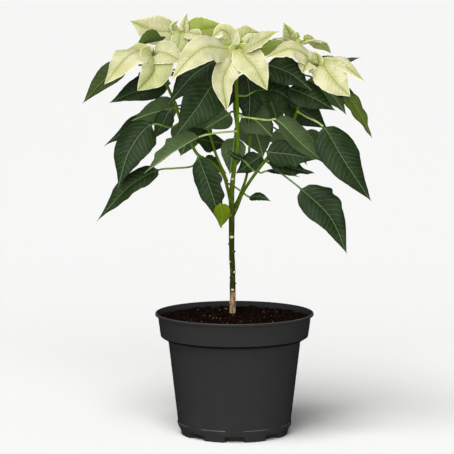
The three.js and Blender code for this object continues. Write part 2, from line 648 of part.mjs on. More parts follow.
// Each bract: midrib points after its claw, way the upper face points, options. The claw starts at
// the button at the head's middle.
const HEADS = {
  front: {
    branch: "main",
    cups: 5,
    bracts: [
      [[[-9, -34, 415], [-32, -58, 417], [-48, -70, 405], [-65, -76, 385]], [-0.2, -0.9, 0.4],
        { width: 35, fold: -12, wave: 1.5 }],
      [[[-3, -36, 403], [-12, -46, 383], [-8, -46, 350]], [0.1, -1, 0.1],
        { width: 27, fold: 6, wave: 1.5 }],
      [[[11, -36, 407], [21, -46, 396], [34, -50, 372]], [0.1, -1, 0.2],
        { width: 32, fold: 6, wave: 1.5 }],
      [[[28, -36, 424], [46, -42, 433]], [-0.4, -0.6, 0.8], { width: 27, fold: 8 }],
      [[[33, -20, 415], [54, -22, 421]], [0, 0.7, 0.7], { width: 26, fold: 5 }],
      [[[7, -6, 421], [13, 1, 428], [26, 7, 431]], [0, -1, 0.2], { width: 28, wave: 1.5, ripples: 4 }],
      [[[14, -12, 420], [22, -7, 425], [32, -3, 428]], [-0.2, -1, 0.2],
        { width: 17, wave: 1, ripples: 3 }],
      [[[-5, -26, 427], [-13, -29, 434], [-24, -33, 426]], [-0.1, -1, 0.3], { width: 20, fold: 4 }],
      [[[-8, -29, 419], [-27, -34, 419]], [0, -0.9, 0.5], { width: 17 }],
      [[[-6, 10, 415], [-9, 40, 408]], [0, 0.5, 0.85], { width: 28, fold: -6, wave: 1 }],
      [[[20, 8, 415], [30, 34, 408]], [0.2, 0.5, 0.85], { width: 26, fold: -6, wave: 1 }],
    ],
  },
  left: {
    branch: "left",
    cups: 4,
    bracts: [
      [[[-98, -22, 412], [-112, -39, 407], [-136, -50, 378]], [-0.4, -0.8, 0.5],
        { width: 36, fold: -6, wave: 1.5, teeth: [[LEFT, 0.45, 0.25]] }],
      [[[-86, -26, 406], [-84, -38, 392], [-102, -42, 371]], [0.35, -1, 0.15],
        { width: 38, fold: 20, wave: 2, ripples: 4 }],
      [[[-79, -24, 411], [-67, -32, 408], [-55, -36, 401]], [0.1, -0.8, 0.6],
        { width: 35, fold: -4, wave: 1 }],
      [[[-88, 20, 408], [-90, 46, 398]], [0.1, 0.5, 0.85], { width: 28, fold: -6, wave: 1 }],
      [[[-110, 12, 411], [-128, 30, 400]], [-0.4, 0.4, 0.8], { width: 26, fold: -6, wave: 1 }],
    ],
  },
  backLeft: {
    branch: "backLeft",
    cups: 4,
    bracts: [
      [[[-68, 40, 430], [-88, 34, 432], [-112, 30, 442]], [0, -1, 0.3], { width: 34, fold: 6, wave: 1 }],
      [[[-54, 36, 438], [-51, 39, 450]], [0, -1, 0], { width: 10 }],
      [[[-66, 34, 436], [-60, 34, 443]], [0.5, -1, 0], { width: 9 }],
      [[[-44, 36, 432], [-31, 32, 433], [-11, 27, 438]], [0, -1, 0.1], { width: 28, fold: -5, wave: 1 }],
      [[[-45, 31, 429], [-34, 23, 427]], [0, -0.8, 0.6], { width: 20 }],
      [[[-59, 31, 422], [-65, 21, 401]], [0, -1, 0.3], { width: 19, wave: 1 }],
      [[[-51, 32, 420], [-52, 26, 402]], [0.1, -1, 0.3], { width: 18 }],
      [[[-46, 74, 428], [-42, 98, 416]], [0.1, 0.6, 0.8], { width: 30, fold: -6, wave: 1 }],
      [[[-74, 70, 428], [-90, 88, 416]], [-0.3, 0.6, 0.8], { width: 28, fold: -6, wave: 1 }],
    ],
  },
  right: {
    branch: "right",
    cups: 5,
    bracts: [
      [[[77, -25, 406], [59, -37, 415], [32, -47, 406]], [-0.1, -0.8, 0.6],
        { width: 25, fold: -8, wave: 1 }],
      [[[77, -27, 401], [71, -37, 389]], [0, -1, 0.3], { width: 24, wave: 1.5 }],
      [[[88, -21, 404], [84, -24, 412]], [-0.2, -1, 0], { width: 11 }],
      [[[107, -22, 402], [120, -32, 394], [136, -40, 381]], [0.2, -0.7, 0.7], { width: 19, fold: -8 }],
      [[[96, -25, 393], [105, -36, 381], [121, -42, 365]], [0, -1, 0.3], { width: 36, fold: 5, wave: 1 }],
      [[[82, 16, 403], [66, 36, 392]], [-0.2, 0.5, 0.85], { width: 24, fold: -6, wave: 1 }],
      [[[110, 14, 403], [128, 32, 391]], [0.4, 0.4, 0.8], { width: 26, fold: -6, wave: 1 }],
    ],
  },
  backRight: {
    branch: "inner",
    cups: 3,
    bracts: [
      [[[59, 36, 428], [53, 34, 440]], [-0.3, -1, 0.2], { width: 16, fold: 6, wave: 1 }],
      [[[77, 36, 423], [87, 33, 422]], [0, -0.6, 0.8], { width: 15 }],
      [[[63, 72, 420], [54, 94, 409]], [0, 0.6, 0.8], { width: 30, fold: -6, wave: 1 }],
      [[[90, 66, 417], [106, 84, 405]], [0.4, 0.5, 0.8], { width: 28, fold: -6, wave: 1 }],
      [[[50, 64, 420], [36, 84, 411]], [-0.3, 0.5, 0.8], { width: 24, fold: -6, wave: 1 }],
    ],
  },
  back: {
    branch: "back",
    cups: 3,
    bracts: [
      [[[4, 110, 412], [0, 140, 394]], [0, 0.6, 0.8], { width: 34, fold: -6, wave: 1 }],
      [[[30, 98, 412], [54, 116, 396]], [0.5, 0.4, 0.8], { width: 30, fold: -6, wave: 1 }],
      [[[-20, 98, 412], [-44, 118, 396]], [-0.5, 0.4, 0.8], { width: 30, fold: -6, wave: 1 }],
      [[[20, 64, 415], [32, 52, 410]], [0.3, -0.4, 0.9], { width: 20 }],
      [[[-10, 62, 416], [-22, 52, 412]], [-0.3, -0.4, 0.9], { width: 20 }],
    ],
  },
};

/** Middle of a head's button, which sits on the end of its branch. */
function headMiddle(head) {
  const points = BRANCH[head.branch].points;
  return point(points[points.length - 1]).addScaledVector(UP, HUB.halfHeight + GAP);
}

function bractSolid(middle, [midrib, looks, options]) {
  const points = midrib.map(point);
  const outward = points[0].clone().sub(middle).setZ(0).normalize();
  const claw = middle.clone().addScaledVector(outward, HUB.clawRadius);
  const elbow = middle.clone().addScaledVector(outward, HUB.elbowRadius).addScaledVector(UP, HUB.elbowRise);
  const blade = points[0].distanceTo(elbow) > HUB.radius ? [claw, elbow, ...points] : [claw, ...points];
  return toSolid(bladeGeometry([], blade, looks, "bract", options));
}

function bractsGeometry(head) {
  const middle = headMiddle(head);
  const button = new THREE.SphereGeometry(HUB.radius, HUB.around, HUB.rows).rotateX(Math.PI / 2);
  button.scale(1, 1, HUB.halfHeight / HUB.radius).translate(...middle);
  return toGeometry(oneBody([toSolid(button), ...head.bracts.map((bract) => bractSolid(middle, bract))]));
}

function cyathiaGeometry(head) {
  const foot = headMiddle(head).addScaledVector(UP, HUB.halfHeight + GAP + CUP.padHalfHeight);
  const padRadius = CUP.spacing * Math.sqrt(head.cups - 1) + CUP.radius / 2;
  const pad = turned([[0, -CUP.padHalfHeight], [padRadius, 0], [0, CUP.padHalfHeight]], CUP.padSides);
  const solids = [pad.translate(foot.toArray())];
  const { radius, halfHeight } = CUP;
  const cupProfile = [[0, -halfHeight], [radius * CUP.waist, 0], [radius, halfHeight / 2], [0, halfHeight]];
  const goldenTurn = Math.PI * (3 - Math.sqrt(5));
  for (let i = 0; i < head.cups; i += 1) {
    const reach = CUP.spacing * Math.sqrt(i);
    const [x, y] = [reach * Math.cos(i * goldenTurn), reach * Math.sin(i * goldenTurn)];
    const cup = turned(cupProfile, CUP.sides);
    solids.push(cup.translate([foot.x + x, foot.y + y, foot.z + halfHeight - CUP.sunk]));
  }
  return toGeometry(oneBody(solids));
}

// ---------------------------------------------------------------- assembly

const poinsettia = new THREE.Group();

function add(name, geometry, material) {
  const mesh = new THREE.Mesh(geometry, material);
  mesh.name = name;
  poinsettia.add(mesh);
}

add("pot", potGeometry(), finish(COLOUR.pot, 0.55));
add("soil", soilGeometry(), finish(COLOUR.soil, 0.95));
add("stem", stemGeometry(), finish(COLOUR.stem, 0.6));
for (const leaf of LEAVES) {
  const colour = leaf[0] === "leaf_young" ? COLOUR.youngLeaf : COLOUR.leaf;
  add(leaf[0], leafGeometry(leaf), finish(colour, 0.5));
}
for (const [name, head] of Object.entries(HEADS)) {
  add(`bracts_${name}`, bractsGeometry(head), finish(COLOUR.bract, 0.55));
  add(`cyathia_${name}`, cyathiaGeometry(head), finish(COLOUR.cup, 0.5));
}

export default poinsettia;
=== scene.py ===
"""A white poinsettia grown on one bare stem, in a black nursery pot filled with peat.

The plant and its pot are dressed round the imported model, which is loaded as a fixed frame. Lengths in
the plans are millimetres, +Z up, with the origin in the middle of the pot's underside and -Y in front.
"""

from __future__ import annotations

import logging
import math
import random
from collections.abc import Iterable, Mapping, Sequence
from dataclasses import dataclass, field
from enum import Enum

import bmesh
import bpy
from mathutils import Euler, Matrix, Vector, noise

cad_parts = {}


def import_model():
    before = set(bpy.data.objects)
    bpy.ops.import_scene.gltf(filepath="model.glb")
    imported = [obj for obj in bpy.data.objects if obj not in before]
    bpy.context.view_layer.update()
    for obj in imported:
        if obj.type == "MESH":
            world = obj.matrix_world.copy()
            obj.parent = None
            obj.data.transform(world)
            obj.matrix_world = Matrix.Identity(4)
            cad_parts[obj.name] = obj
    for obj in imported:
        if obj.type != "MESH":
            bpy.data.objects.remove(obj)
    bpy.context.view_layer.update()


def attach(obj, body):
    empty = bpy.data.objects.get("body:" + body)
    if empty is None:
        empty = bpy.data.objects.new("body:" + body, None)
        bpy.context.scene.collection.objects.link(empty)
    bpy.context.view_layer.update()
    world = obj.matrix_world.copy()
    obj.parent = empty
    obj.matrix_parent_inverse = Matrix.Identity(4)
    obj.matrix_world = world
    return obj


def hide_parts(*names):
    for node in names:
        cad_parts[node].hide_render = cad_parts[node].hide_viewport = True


LOG = logging.getLogger("poinsettia")
MM = 0.001
BODY = "root"  # the whole plant stands in one body
UP = Vector((0, 0, 1))
Point = tuple[float, float, float]
Pair = tuple[float, float]  # low and high, first and last, or radius and height
Shape = bmesh.types.BMesh
Tree = bpy.types.NodeTree
Socket = bpy.types.NodeSocket


class Side(Enum):
    """The two halves of a blade, seen from its upper face with the tip up."""

    LEFT = -1
    RIGHT = 1


LEFT, RIGHT = Side


class Coat(Enum):
    """The three skins of a leaf or bract, in the order of its material slots."""

    UPPER = 0
    UNDER = 1
    STALK = 2


# ------------------------------------------------------------------------------ plans of the plant


@dataclass(frozen=True)
class Tooth:
    """A lobe of a blade's edge: its side, its place along the blade and how far it juts."""

    side: Side
    place: float
    size: float


@dataclass(frozen=True)
class Blade:
    """A leaf's or bract's lamina.

    The midrib runs from base to tip, and looks is the way its upper face points. width is the full
    width, fold lifts both halves by an angle in degrees, and wave and ripples are the height and the
    count of the edge's waves. fresh turns the colour towards young green, from 0 to 1.
    """

    midrib: tuple[Point, ...]
    looks: Point
    width: float
    fold: float = 0
    wave: float = 0
    ripples: int = 2
    teeth: tuple[Tooth, ...] = ()
    fresh: float = 0


@dataclass(frozen=True)
class Leaf:
    """A leaf: the node it stands for, the branch it grows from, its stalk's points and its blade."""

    node: str
    branch: str
    stalk: tuple[Point, ...]
    blade: Blade


@dataclass(frozen=True)
class Head:
    """A flower head: its name, the branch under it, its count of cyathia and its bracts."""

    name: str
    branch: str
    cups: int
    bracts: tuple[Blade, ...]


@dataclass(frozen=True)
class Branch:
    """A branch: its points from its root to the foot of its flower head, and its radius at each."""

    name: str
    points: tuple[Point, ...]
    radii: tuple[float, ...]


@dataclass(frozen=True)
class Scar:
    """A knob left by a fallen leaf: branch, share of its length, turn round it and size."""

    branch: str
    share: float
    turn: float
    size: float
    pale: bool = False


LEAVES = (
    Leaf("leaf_front", "main", ((-7, -26, 386),),
         Blade(((-22, -38, 378), (-40, -52, 353), (-61, -56, 326)), (0.3, -1, 0.25), 44, fold=6,
               wave=1.5)),
    Leaf("leaf_left_upper", "left", ((-68, -16, 331),),
         Blade(((-87, -26, 335), (-110, -42, 309), (-122, -52, 270)), (-0.3, -1, 0.3), 41, fold=-8,
               wave=1.5)),
    Leaf("leaf_left_behind", "backLeft", ((-45, 28, 352),),
         Blade(((-70, 24, 350), (-107, 34, 331), (-141, 32, 307)), (0, -0.5, 0.85), 36, fold=-5,
               wave=1.5)),
    Leaf("leaf_left_pale", "left", ((-56, 4, 346),),
         Blade(((-60, 6, 350), (-84, 3, 346), (-110, -3, 337)), (0, 0.9, 0.35), 30, fold=5)),
    Leaf("leaf_left_low", "left", ((-44, -12, 290), (-63, -20, 288)),
         Blade(((-80, -28, 287), (-109, -40, 272), (-145, -46, 234)), (-0.3, -0.75, 0.6), 27, fold=8,
               wave=1.5, teeth=(Tooth(LEFT, 0.3, 0.15), Tooth(LEFT, 0.55, 0.12)))),
    Leaf("leaf_left_folded", "main", ((-23, -22, 325),),
         Blade(((-38, -32, 322), (-66, -42, 306), (-95, -46, 285)), (0, 0.7, 0.7), 27, fold=38,
               teeth=(Tooth(LEFT, 0.45, 0.25), Tooth(LEFT, 0.7, 0.2)))),
    Leaf("leaf_hanging", "left", ((-40, -12, 303),),
         Blade(((-38, -20, 299), (-25, -30, 265), (-13, -28, 224)), (-0.2, -1, 0.1), 27, fold=5,
               wave=1, teeth=(Tooth(LEFT, 0.38, 0.3), Tooth(LEFT, 0.58, 0.2), Tooth(RIGHT, 0.55, 0.1)))),
    Leaf("leaf_young", "main", ((-6, -12, 236), (-9, -32, 245)),
         Blade(((-15, -37, 252), (-13, -39, 242), (-15, -38, 226)), (-0.1, -1, 0), 18)),
    Leaf("leaf_left_inner", "left", ((-34, 6, 298),),
         Blade(((-32, 10, 296), (-21, 14, 288), (-8, 16, 279)), (0, -0.8, 0.6), 18)),
    Leaf("leaf_left_shade", "left", ((-46, 6, 316),),
         Blade(((-45, 14, 317), (-29, 32, 313), (-4, 40, 308)), (0, -0.8, 0.6), 34)),
    Leaf("leaf_right_low", "right", ((50, -4, 281),),
         Blade(((70, -16, 266), (101, -30, 237), (119, -34, 198)), (0.1, -1, 0.3), 37, fold=6,
               wave=1.5, teeth=(Tooth(LEFT, 0.28, 0.22), Tooth(LEFT, 0.45, 0.15)))),
    Leaf("leaf_right", "right", ((76, -12, 342),),
         Blade(((93, -32, 333), (115, -54, 298), (143, -54, 256)), (0.25, -1, 0.3), 43, fold=-6,
               wave=1.5, teeth=(Tooth(RIGHT, 0.6, 0.06),))),
    Leaf("leaf_right_pale", "main", ((36, -18, 339),),
         Blade(((44, -24, 340), (74, -32, 312), (101, -26, 291)), (0.3, 0.7, 0.7), 36, fold=6)),
    Leaf("leaf_far_left", "left", ((-101, 2, 396),),
         Blade(((-113, 6, 397), (-138, 6, 381), (-162, 2, 355)), (-0.2, -0.9, 0.4), 26, fold=8,
               fresh=0.1)),
    Leaf("leaf_left_dark", "left", ((-72, 2, 378),),
         Blade(((-69, 10, 376), (-101, 16, 369), (-134, 12, 355)), (0, -0.8, 0.6), 36, fold=8)),
    Leaf("leaf_left_slim", "left", ((-66, -8, 351),),
         Blade(((-69, -9, 348), (-76, -10, 335), (-86, -12, 318)), (0, -1, 0.2), 20)),
    Leaf("leaf_behind_left", "main", ((-3, 12, 346),),
         Blade(((-5, 14, 344), (-16, 16, 337), (-32, 18, 327)), (0, 0.9, 0.4), 28)),
    Leaf("leaf_behind_right", "main", ((8, 8, 342),),
         Blade(((9, 12, 345), (24, 19, 335), (41, 20, 318)), (0, 1, 0.1), 38)),
    Leaf("leaf_mid_right", "right", ((39, -6, 306),),
         Blade(((34, -9, 305), (60, -12, 302), (87, -18, 297)), (0.1, -1, 0.2), 29, wave=1,
               teeth=(Tooth(LEFT, 0.6, 0.3), Tooth(RIGHT, 0.65, 0.3)))),
    Leaf("leaf_mid_wavy", "right", ((35, -3, 294),),
         Blade(((36, -5, 296), (57, -5, 288), (86, -4, 281)), (0, -0.75, 0.65), 22, wave=2, ripples=3)),
    Leaf("leaf_centre_wavy", "main", ((12, -8, 364),),
         Blade(((22, -9, 369), (45, -11, 369), (66, -12, 354)), (0, -0.8, 0.6), 33, wave=2.5,
               ripples=3)),
    Leaf("leaf_right_slim", "right", ((28, 0, 281),),
         Blade(((34, 2, 283), (52, 6, 281), (70, 8, 276)), (0, -0.3, 1), 13)),
    Leaf("leaf_small_low", "left", ((-9, 5, 270), (-2, 7, 267), (8, 8, 260)),
         Blade(((16, 4, 255), (26, 0, 256), (39, -3, 251)), (0, -0.6, 0.8), 14)),
    Leaf("leaf_small_front", "right", ((19, -2, 285),),
         Blade(((9, -12, 296), (0, -16, 301), (-10, -18, 309)), (0, -0.8, -0.5), 8)),
    Leaf("leaf_centre_low", "inner", ((25, 18, 300),),
         Blade(((28, 16, 299), (15, 13, 289), (1, 13, 279)), (0, -0.9, 0.4), 23, wave=1)),
    Leaf("leaf_centre_hanging", "main", ((1, 6, 322),),
         Blade(((0, 9, 318), (-2, 11, 300), (-5, 12, 278)), (0, 1, 0.2), 27)),
    Leaf("leaf_right_top", "right", ((62, -8, 378), (46, -16, 394)),
         Blade(((34, -22, 398), (58, -28, 389), (81, -30, 371)), (0, -0.8, 0.6), 37, wave=2,
               ripples=3)),
    Leaf("leaf_right_dark", "right", ((66, -12, 370),),
         Blade(((58, -16, 373), (82, -22, 363), (107, -24, 349)), (0, -0.8, 0.6), 33)),
    Leaf("leaf_right_tucked", "right", ((62, 9, 358),),
         Blade(((55, 14, 357), (78, 18, 343), (100, 14, 327)), (0, -0.9, 0.4), 36)),
    Leaf("leaf_right_olive", "right", ((68, 6, 333),),
         Blade(((76, 8, 326), (89, 6, 308), (106, 4, 284)), (0.2, 0.8, 0.5), 26)),
    Leaf("leaf_right_turning", "right", ((98, -15, 378),),
         Blade(((113, -22, 371), (129, -26, 351), (145, -24, 320)), (0.3, -0.9, 0.3), 17, wave=2,
               ripples=3, fresh=0.25)),
    Leaf("leaf_right_back", "inner", ((68, 37, 401),),
         Blade(((80, 37, 400), (108, 40, 398), (136, 42, 402)), (0, -0.7, 0.7), 16, wave=1.5)),
    Leaf("leaf_right_point", "right", ((97, 0, 378),),
         Blade(((104, 6, 373), (119, 8, 366), (132, 6, 354)), (0, -0.8, 0.6), 18)),
    Leaf("leaf_over_left", "backLeft", ((-69, 38, 412), (-77, 24, 416)),
         Blade(((-77, 10, 422), (-90, 3, 420), (-106, -3, 415)), (0, -0.45, 1), 28, fold=44,
               fresh=0.2)),
    Leaf("leaf_under_front", "main", ((-3, -14, 399), (-10, -19, 402)),
         Blade(((-18, -20, 402), (-42, -24, 388), (-70, -26, 356)), (0, -0.9, 0.5), 34)),
    Leaf("leaf_behind_front", "main", ((8, 0, 390),),
         Blade(((11, 4, 389), (16, 6, 366), (15, 5, 331)), (0, -1, 0.3), 37)),
    Leaf("leaf_centre_back", "main", ((-4, 2, 386),),
         Blade(((-6, 7, 382), (-8, 10, 364), (-9, 8, 347)), (0, -1, 0.3), 30)),
    Leaf("leaf_back_low_left", "backLeft", ((-36, 38, 337),),
         Blade(((-40, 46, 334), (-50, 62, 315), (-59, 78, 292)), (-0.3, 0.9, 0.3), 46, wave=1.5,
               teeth=(Tooth(RIGHT, 0.4, 0.2),))),
    Leaf("leaf_back_low_middle", "back", ((2, 44, 344),),
         Blade(((12, 52, 338), (24, 68, 318), (32, 82, 290)), (0, 0.9, 0.3), 44, wave=1.5)),
    Leaf("leaf_back_low_right", "inner", ((36, 42, 330),),
         Blade(((46, 50, 324), (64, 66, 308), (80, 78, 282)), (0.4, 0.8, 0.3), 40, wave=1.5,
               teeth=(Tooth(LEFT, 0.45, 0.2),))),
    Leaf("leaf_back_high_left", "backLeft", ((-60, 60, 388),),
         Blade(((-74, 72, 388), (-90, 96, 378), (-100, 114, 354)), (-0.4, 0.8, 0.5), 40, wave=1.5)),
    Leaf("leaf_back_high_middle", "back", ((-2, 84, 388),),
         Blade(((-8, 98, 384), (-18, 128, 364), (-24, 142, 336)), (-0.1, 0.9, 0.45), 40, wave=1.5,
               teeth=(Tooth(LEFT, 0.4, 0.15),))),
    Leaf("leaf_back_high_right", "inner", ((68, 58, 384),),
         Blade(((84, 68, 380), (106, 90, 362), (124, 100, 336)), (0.4, 0.8, 0.5), 40, wave=1.5)),
    Leaf("leaf_back_under_left", "back", ((-9, 66, 376),),
         Blade(((-16, 74, 374), (-22, 88, 352), (-30, 102, 324)), (-0.2, 0.9, 0.3), 42, wave=1.5)),
    Leaf("leaf_back_under_right", "back", ((14, 66, 376),),
         Blade(((26, 74, 374), (40, 88, 352), (50, 100, 322)), (0.2, 0.9, 0.3), 42, wave=1.5)),
)

HEADS = (
    Head("front", "main", 5, (
        Blade(((-9, -34, 415), (-32, -58, 417), (-48, -70, 405), (-65, -76, 385)), (-0.2, -0.9, 0.4), 35,
              fold=-12, wave=1.5),
        Blade(((-3, -36, 403), (-12, -46, 383), (-8, -46, 350)), (0.1, -1, 0.1), 27, fold=6, wave=1.5),
        Blade(((11, -36, 407), (21, -46, 396), (34, -50, 372)), (0.1, -1, 0.2), 32, fold=6, wave=1.5),
        Blade(((28, -36, 424), (46, -42, 433)), (-0.4, -0.6, 0.8), 27, fold=8),
        Blade(((33, -20, 415), (54, -22, 421)), (0, 0.7, 0.7), 26, fold=5, fresh=0.7),
        Blade(((7, -6, 421), (13, 1, 428), (26, 7, 431)), (0, -1, 0.2), 28, wave=1.5, ripples=4,
              fresh=0.3),
        Blade(((14, -12, 420), (22, -7, 425), (32, -3, 428)), (-0.2, -1, 0.2), 17, wave=1, ripples=3),
        Blade(((-5, -26, 427), (-13, -29, 434), (-24, -33, 426)), (-0.1, -1, 0.3), 20, fold=4),
        Blade(((-8, -29, 419), (-27, -34, 419)), (0, -0.9, 0.5), 17, fresh=0.7),
        Blade(((-6, 10, 415), (-9, 40, 408)), (0, 0.5, 0.85), 28, fold=-6, wave=1),
        Blade(((20, 8, 415), (30, 34, 408)), (0.2, 0.5, 0.85), 26, fold=-6, wave=1),
    )),
    Head("left", "left", 4, (
        Blade(((-98, -22, 412), (-112, -39, 407), (-136, -50, 378)), (-0.4, -0.8, 0.5), 36, fold=-6,
              wave=1.5, teeth=(Tooth(LEFT, 0.45, 0.25),)),
        Blade(((-86, -26, 406), (-84, -38, 392), (-102, -42, 371)), (0.35, -1, 0.15), 38, fold=20,
              wave=2, ripples=4, fresh=0.25),
        Blade(((-79, -24, 411), (-67, -32, 408), (-55, -36, 401)), (0.1, -0.8, 0.6), 35, fold=-4, wave=1),
        Blade(((-88, 20, 408), (-90, 46, 398)), (0.1, 0.5, 0.85), 28, fold=-6, wave=1),
        Blade(((-110, 12, 411), (-128, 30, 400)), (-0.4, 0.4, 0.8), 26, fold=-6, wave=1),
    )),
    Head("backLeft", "backLeft", 4, (
        Blade(((-68, 40, 430), (-88, 34, 432), (-112, 30, 442)), (0, -1, 0.3), 34, fold=6, wave=1),
        Blade(((-54, 36, 438), (-51, 39, 450)), (0, -1, 0), 10),
        Blade(((-66, 34, 436), (-60, 34, 443)), (0.5, -1, 0), 9),
        Blade(((-44, 36, 432), (-31, 32, 433), (-11, 27, 438)), (0, -1, 0.1), 28, fold=-5, fresh=0.8,
              wave=1),
        Blade(((-45, 31, 429), (-34, 23, 427)), (0, -0.8, 0.6), 20),
        Blade(((-59, 31, 422), (-65, 21, 401)), (0, -1, 0.3), 19, wave=1, fresh=0.35),
        Blade(((-51, 32, 420), (-52, 26, 402)), (0.1, -1, 0.3), 18, fresh=0.6),
        Blade(((-46, 74, 428), (-42, 98, 416)), (0.1, 0.6, 0.8), 30, fold=-6, wave=1),
        Blade(((-74, 70, 428), (-90, 88, 416)), (-0.3, 0.6, 0.8), 28, fold=-6, wave=1),
    )),
    Head("right", "right", 5, (
        Blade(((77, -25, 406), (59, -37, 415), (32, -47, 406)), (-0.1, -0.8, 0.6), 25, fold=-8, wave=1),
        Blade(((77, -27, 401), (71, -37, 389)), (0, -1, 0.3), 24, wave=1.5, fresh=0.2),
        Blade(((88, -21, 404), (84, -24, 412)), (-0.2, -1, 0), 11, fresh=0.3),
        Blade(((107, -22, 402), (120, -32, 394), (136, -40, 381)), (0.2, -0.7, 0.7), 19, fold=-8),
        Blade(((96, -25, 393), (105, -36, 381), (121, -42, 365)), (0, -1, 0.3), 36, fold=5, wave=1),
        Blade(((82, 16, 403), (66, 36, 392)), (-0.2, 0.5, 0.85), 24, fold=-6, wave=1),
        Blade(((110, 14, 403), (128, 32, 391)), (0.4, 0.4, 0.8), 26, fold=-6, wave=1),
    )),
    Head("backRight", "inner", 3, (
        Blade(((59, 36, 428), (53, 34, 440)), (-0.3, -1, 0.2), 16, fold=6, fresh=0.3, wave=1),
        Blade(((77, 36, 423), (87, 33, 422)), (0, -0.6, 0.8), 15, fresh=0.7),
        Blade(((63, 72, 420), (54, 94, 409)), (0, 0.6, 0.8), 30, fold=-6, wave=1),
        Blade(((90, 66, 417), (106, 84, 405)), (0.4, 0.5, 0.8), 28, fold=-6, wave=1),
        Blade(((50, 64, 420), (36, 84, 411)), (-0.3, 0.5, 0.8), 24, fold=-6, wave=1),
    )),
    Head("back", "back", 3, (
        Blade(((4, 110, 412), (0, 140, 394)), (0, 0.6, 0.8), 34, fold=-6, wave=1),
        Blade(((30, 98, 412), (54, 116, 396)), (0.5, 0.4, 0.8), 30, fold=-6, wave=1),
        Blade(((-20, 98, 412), (-44, 118, 396)), (-0.5, 0.4, 0.8), 30, fold=-6, wave=1),
        Blade(((20, 64, 415), (32, 52, 410)), (0.3, -0.4, 0.9), 20),
        Blade(((-10, 62, 416), (-22, 52, 412)), (-0.3, -0.4, 0.9), 20),
    )),
)

BRANCHES = (
    Branch("main", (
        (-2, 0, 102.8), (-2, 0, 131), (-2, 1, 155), (-2, 2, 176), (-3, 2, 197), (-3, 1, 212), (-3, 0, 236),
        (-3, 0, 259), (-1, 0, 281), (3, 0, 310), (3, 0, 332), (3, -3, 352), (2, -9, 376), (4, -16, 398),
        (5, -19, 406), (5, -19, 409),
    ), (3.9, 3.6, 3.1, 3, 3, 3, 3.2, 3, 2.4, 2.2, 2.1, 2, 1.9, 1.9, 2, 2)),
    Branch("right", (
        (-3, 1, 232), (3, 3, 245), (8, 4, 258), (16, 5, 271), (26, 6, 285), (36, 6, 298), (50, 4, 317),
        (64, 0, 340), (70, -4, 358), (82, -8, 380), (88, -10, 389), (88, -10, 392),
    ), (2, 1.9, 1.8, 1.7, 1.7, 1.7, 1.7, 1.6, 1.6, 1.6, 1.8, 1.8)),
    Branch("inner", (
        (-3, 1, 240), (4, 8, 252), (9, 13, 264), (13, 18, 276), (16, 26, 304), (17, 30, 317),
        (20, 33, 328), (26, 36, 340), (44, 42, 376), (60, 45, 401), (68, 45, 411), (68, 45, 414),
    ), (1.7, 1.6, 1.5, 1.4, 1.4, 1.4, 1.5, 1.5, 1.5, 1.6, 1.8, 1.8)),
    Branch("left", (
        (-4, 0, 250), (-7, 0, 263), (-12, -1, 279), (-24, -2, 292), (-39, -3, 301), (-47, -4, 315),
        (-54, -5, 329), (-67, -8, 365), (-79, -10, 388), (-89, -10, 398), (-89, -10, 401),
    ), (2, 1.8, 1.7, 1.7, 1.7, 1.7, 1.7, 1.6, 1.6, 1.8, 1.8)),
    Branch("backLeft", (
        (-8, 0, 272), (-13, 8, 284), (-20, 17, 300), (-31, 29, 336), (-43, 38, 378), (-53, 44, 408),
        (-56, 45, 421), (-56, 45, 424),
    ), (1.7, 1.5, 1.5, 1.5, 1.5, 1.6, 1.8, 1.8)),
    Branch("back", (
        (3, 0, 324), (2, 12, 334), (0, 34, 350), (1, 58, 374), (5, 76, 396), (6, 80, 404), (6, 80, 407),
    ), (1.7, 1.6, 1.6, 1.6, 1.6, 1.8, 1.8)),
)

SCARS = (
    Scar("main", 0.333, -90, 2.4, pale=True),
    Scar("main", 0.267, -10, 1.9),
    Scar("main", 0.3, -170, 1.5),
    Scar("main", 0.231, -150, 1.6, pale=True),
    Scar("main", 0.193, -35, 2, pale=True),
    Scar("main", 0.176, -145, 1.7),
    Scar("main", 0.157, 0, 1.6),
    Scar("main", 0.137, -90, 1.8, pale=True),
    Scar("main", 0.118, -30, 1.6),
    Scar("main", 0.097, -140, 1.5),
    Scar("main", 0.515, -100, 1.9, pale=True),
    Scar("right", 0.3, -60, 1.3),
    Scar("right", 0.47, 120, 1.3),
    Scar("left", 0.36, -80, 1.3),
)


# ------------------------------------------------------------------------------ shared tools


JOINED = 1e-6  # points nearer than this, in metres, are one
CORNER_STEPS = 5  # faces on each round corner of a profile


def mix(a: float, b: float, share: float) -> float:
    """Goes from a to b by a share."""
    return a + (b - a) * share


def smooth_step(low: float, high: float, value: float) -> float:
    """Rises smoothly from 0 at low to 1 at high."""
    share = min(max((value - low) / (high - low), 0), 1)
    return share * share * (3 - 2 * share)


def metres(points: Iterable[Point]) -> list[Vector]:
    """Turns points in millimetres into vectors in metres."""
    return [Vector(point) * MM for point in points]


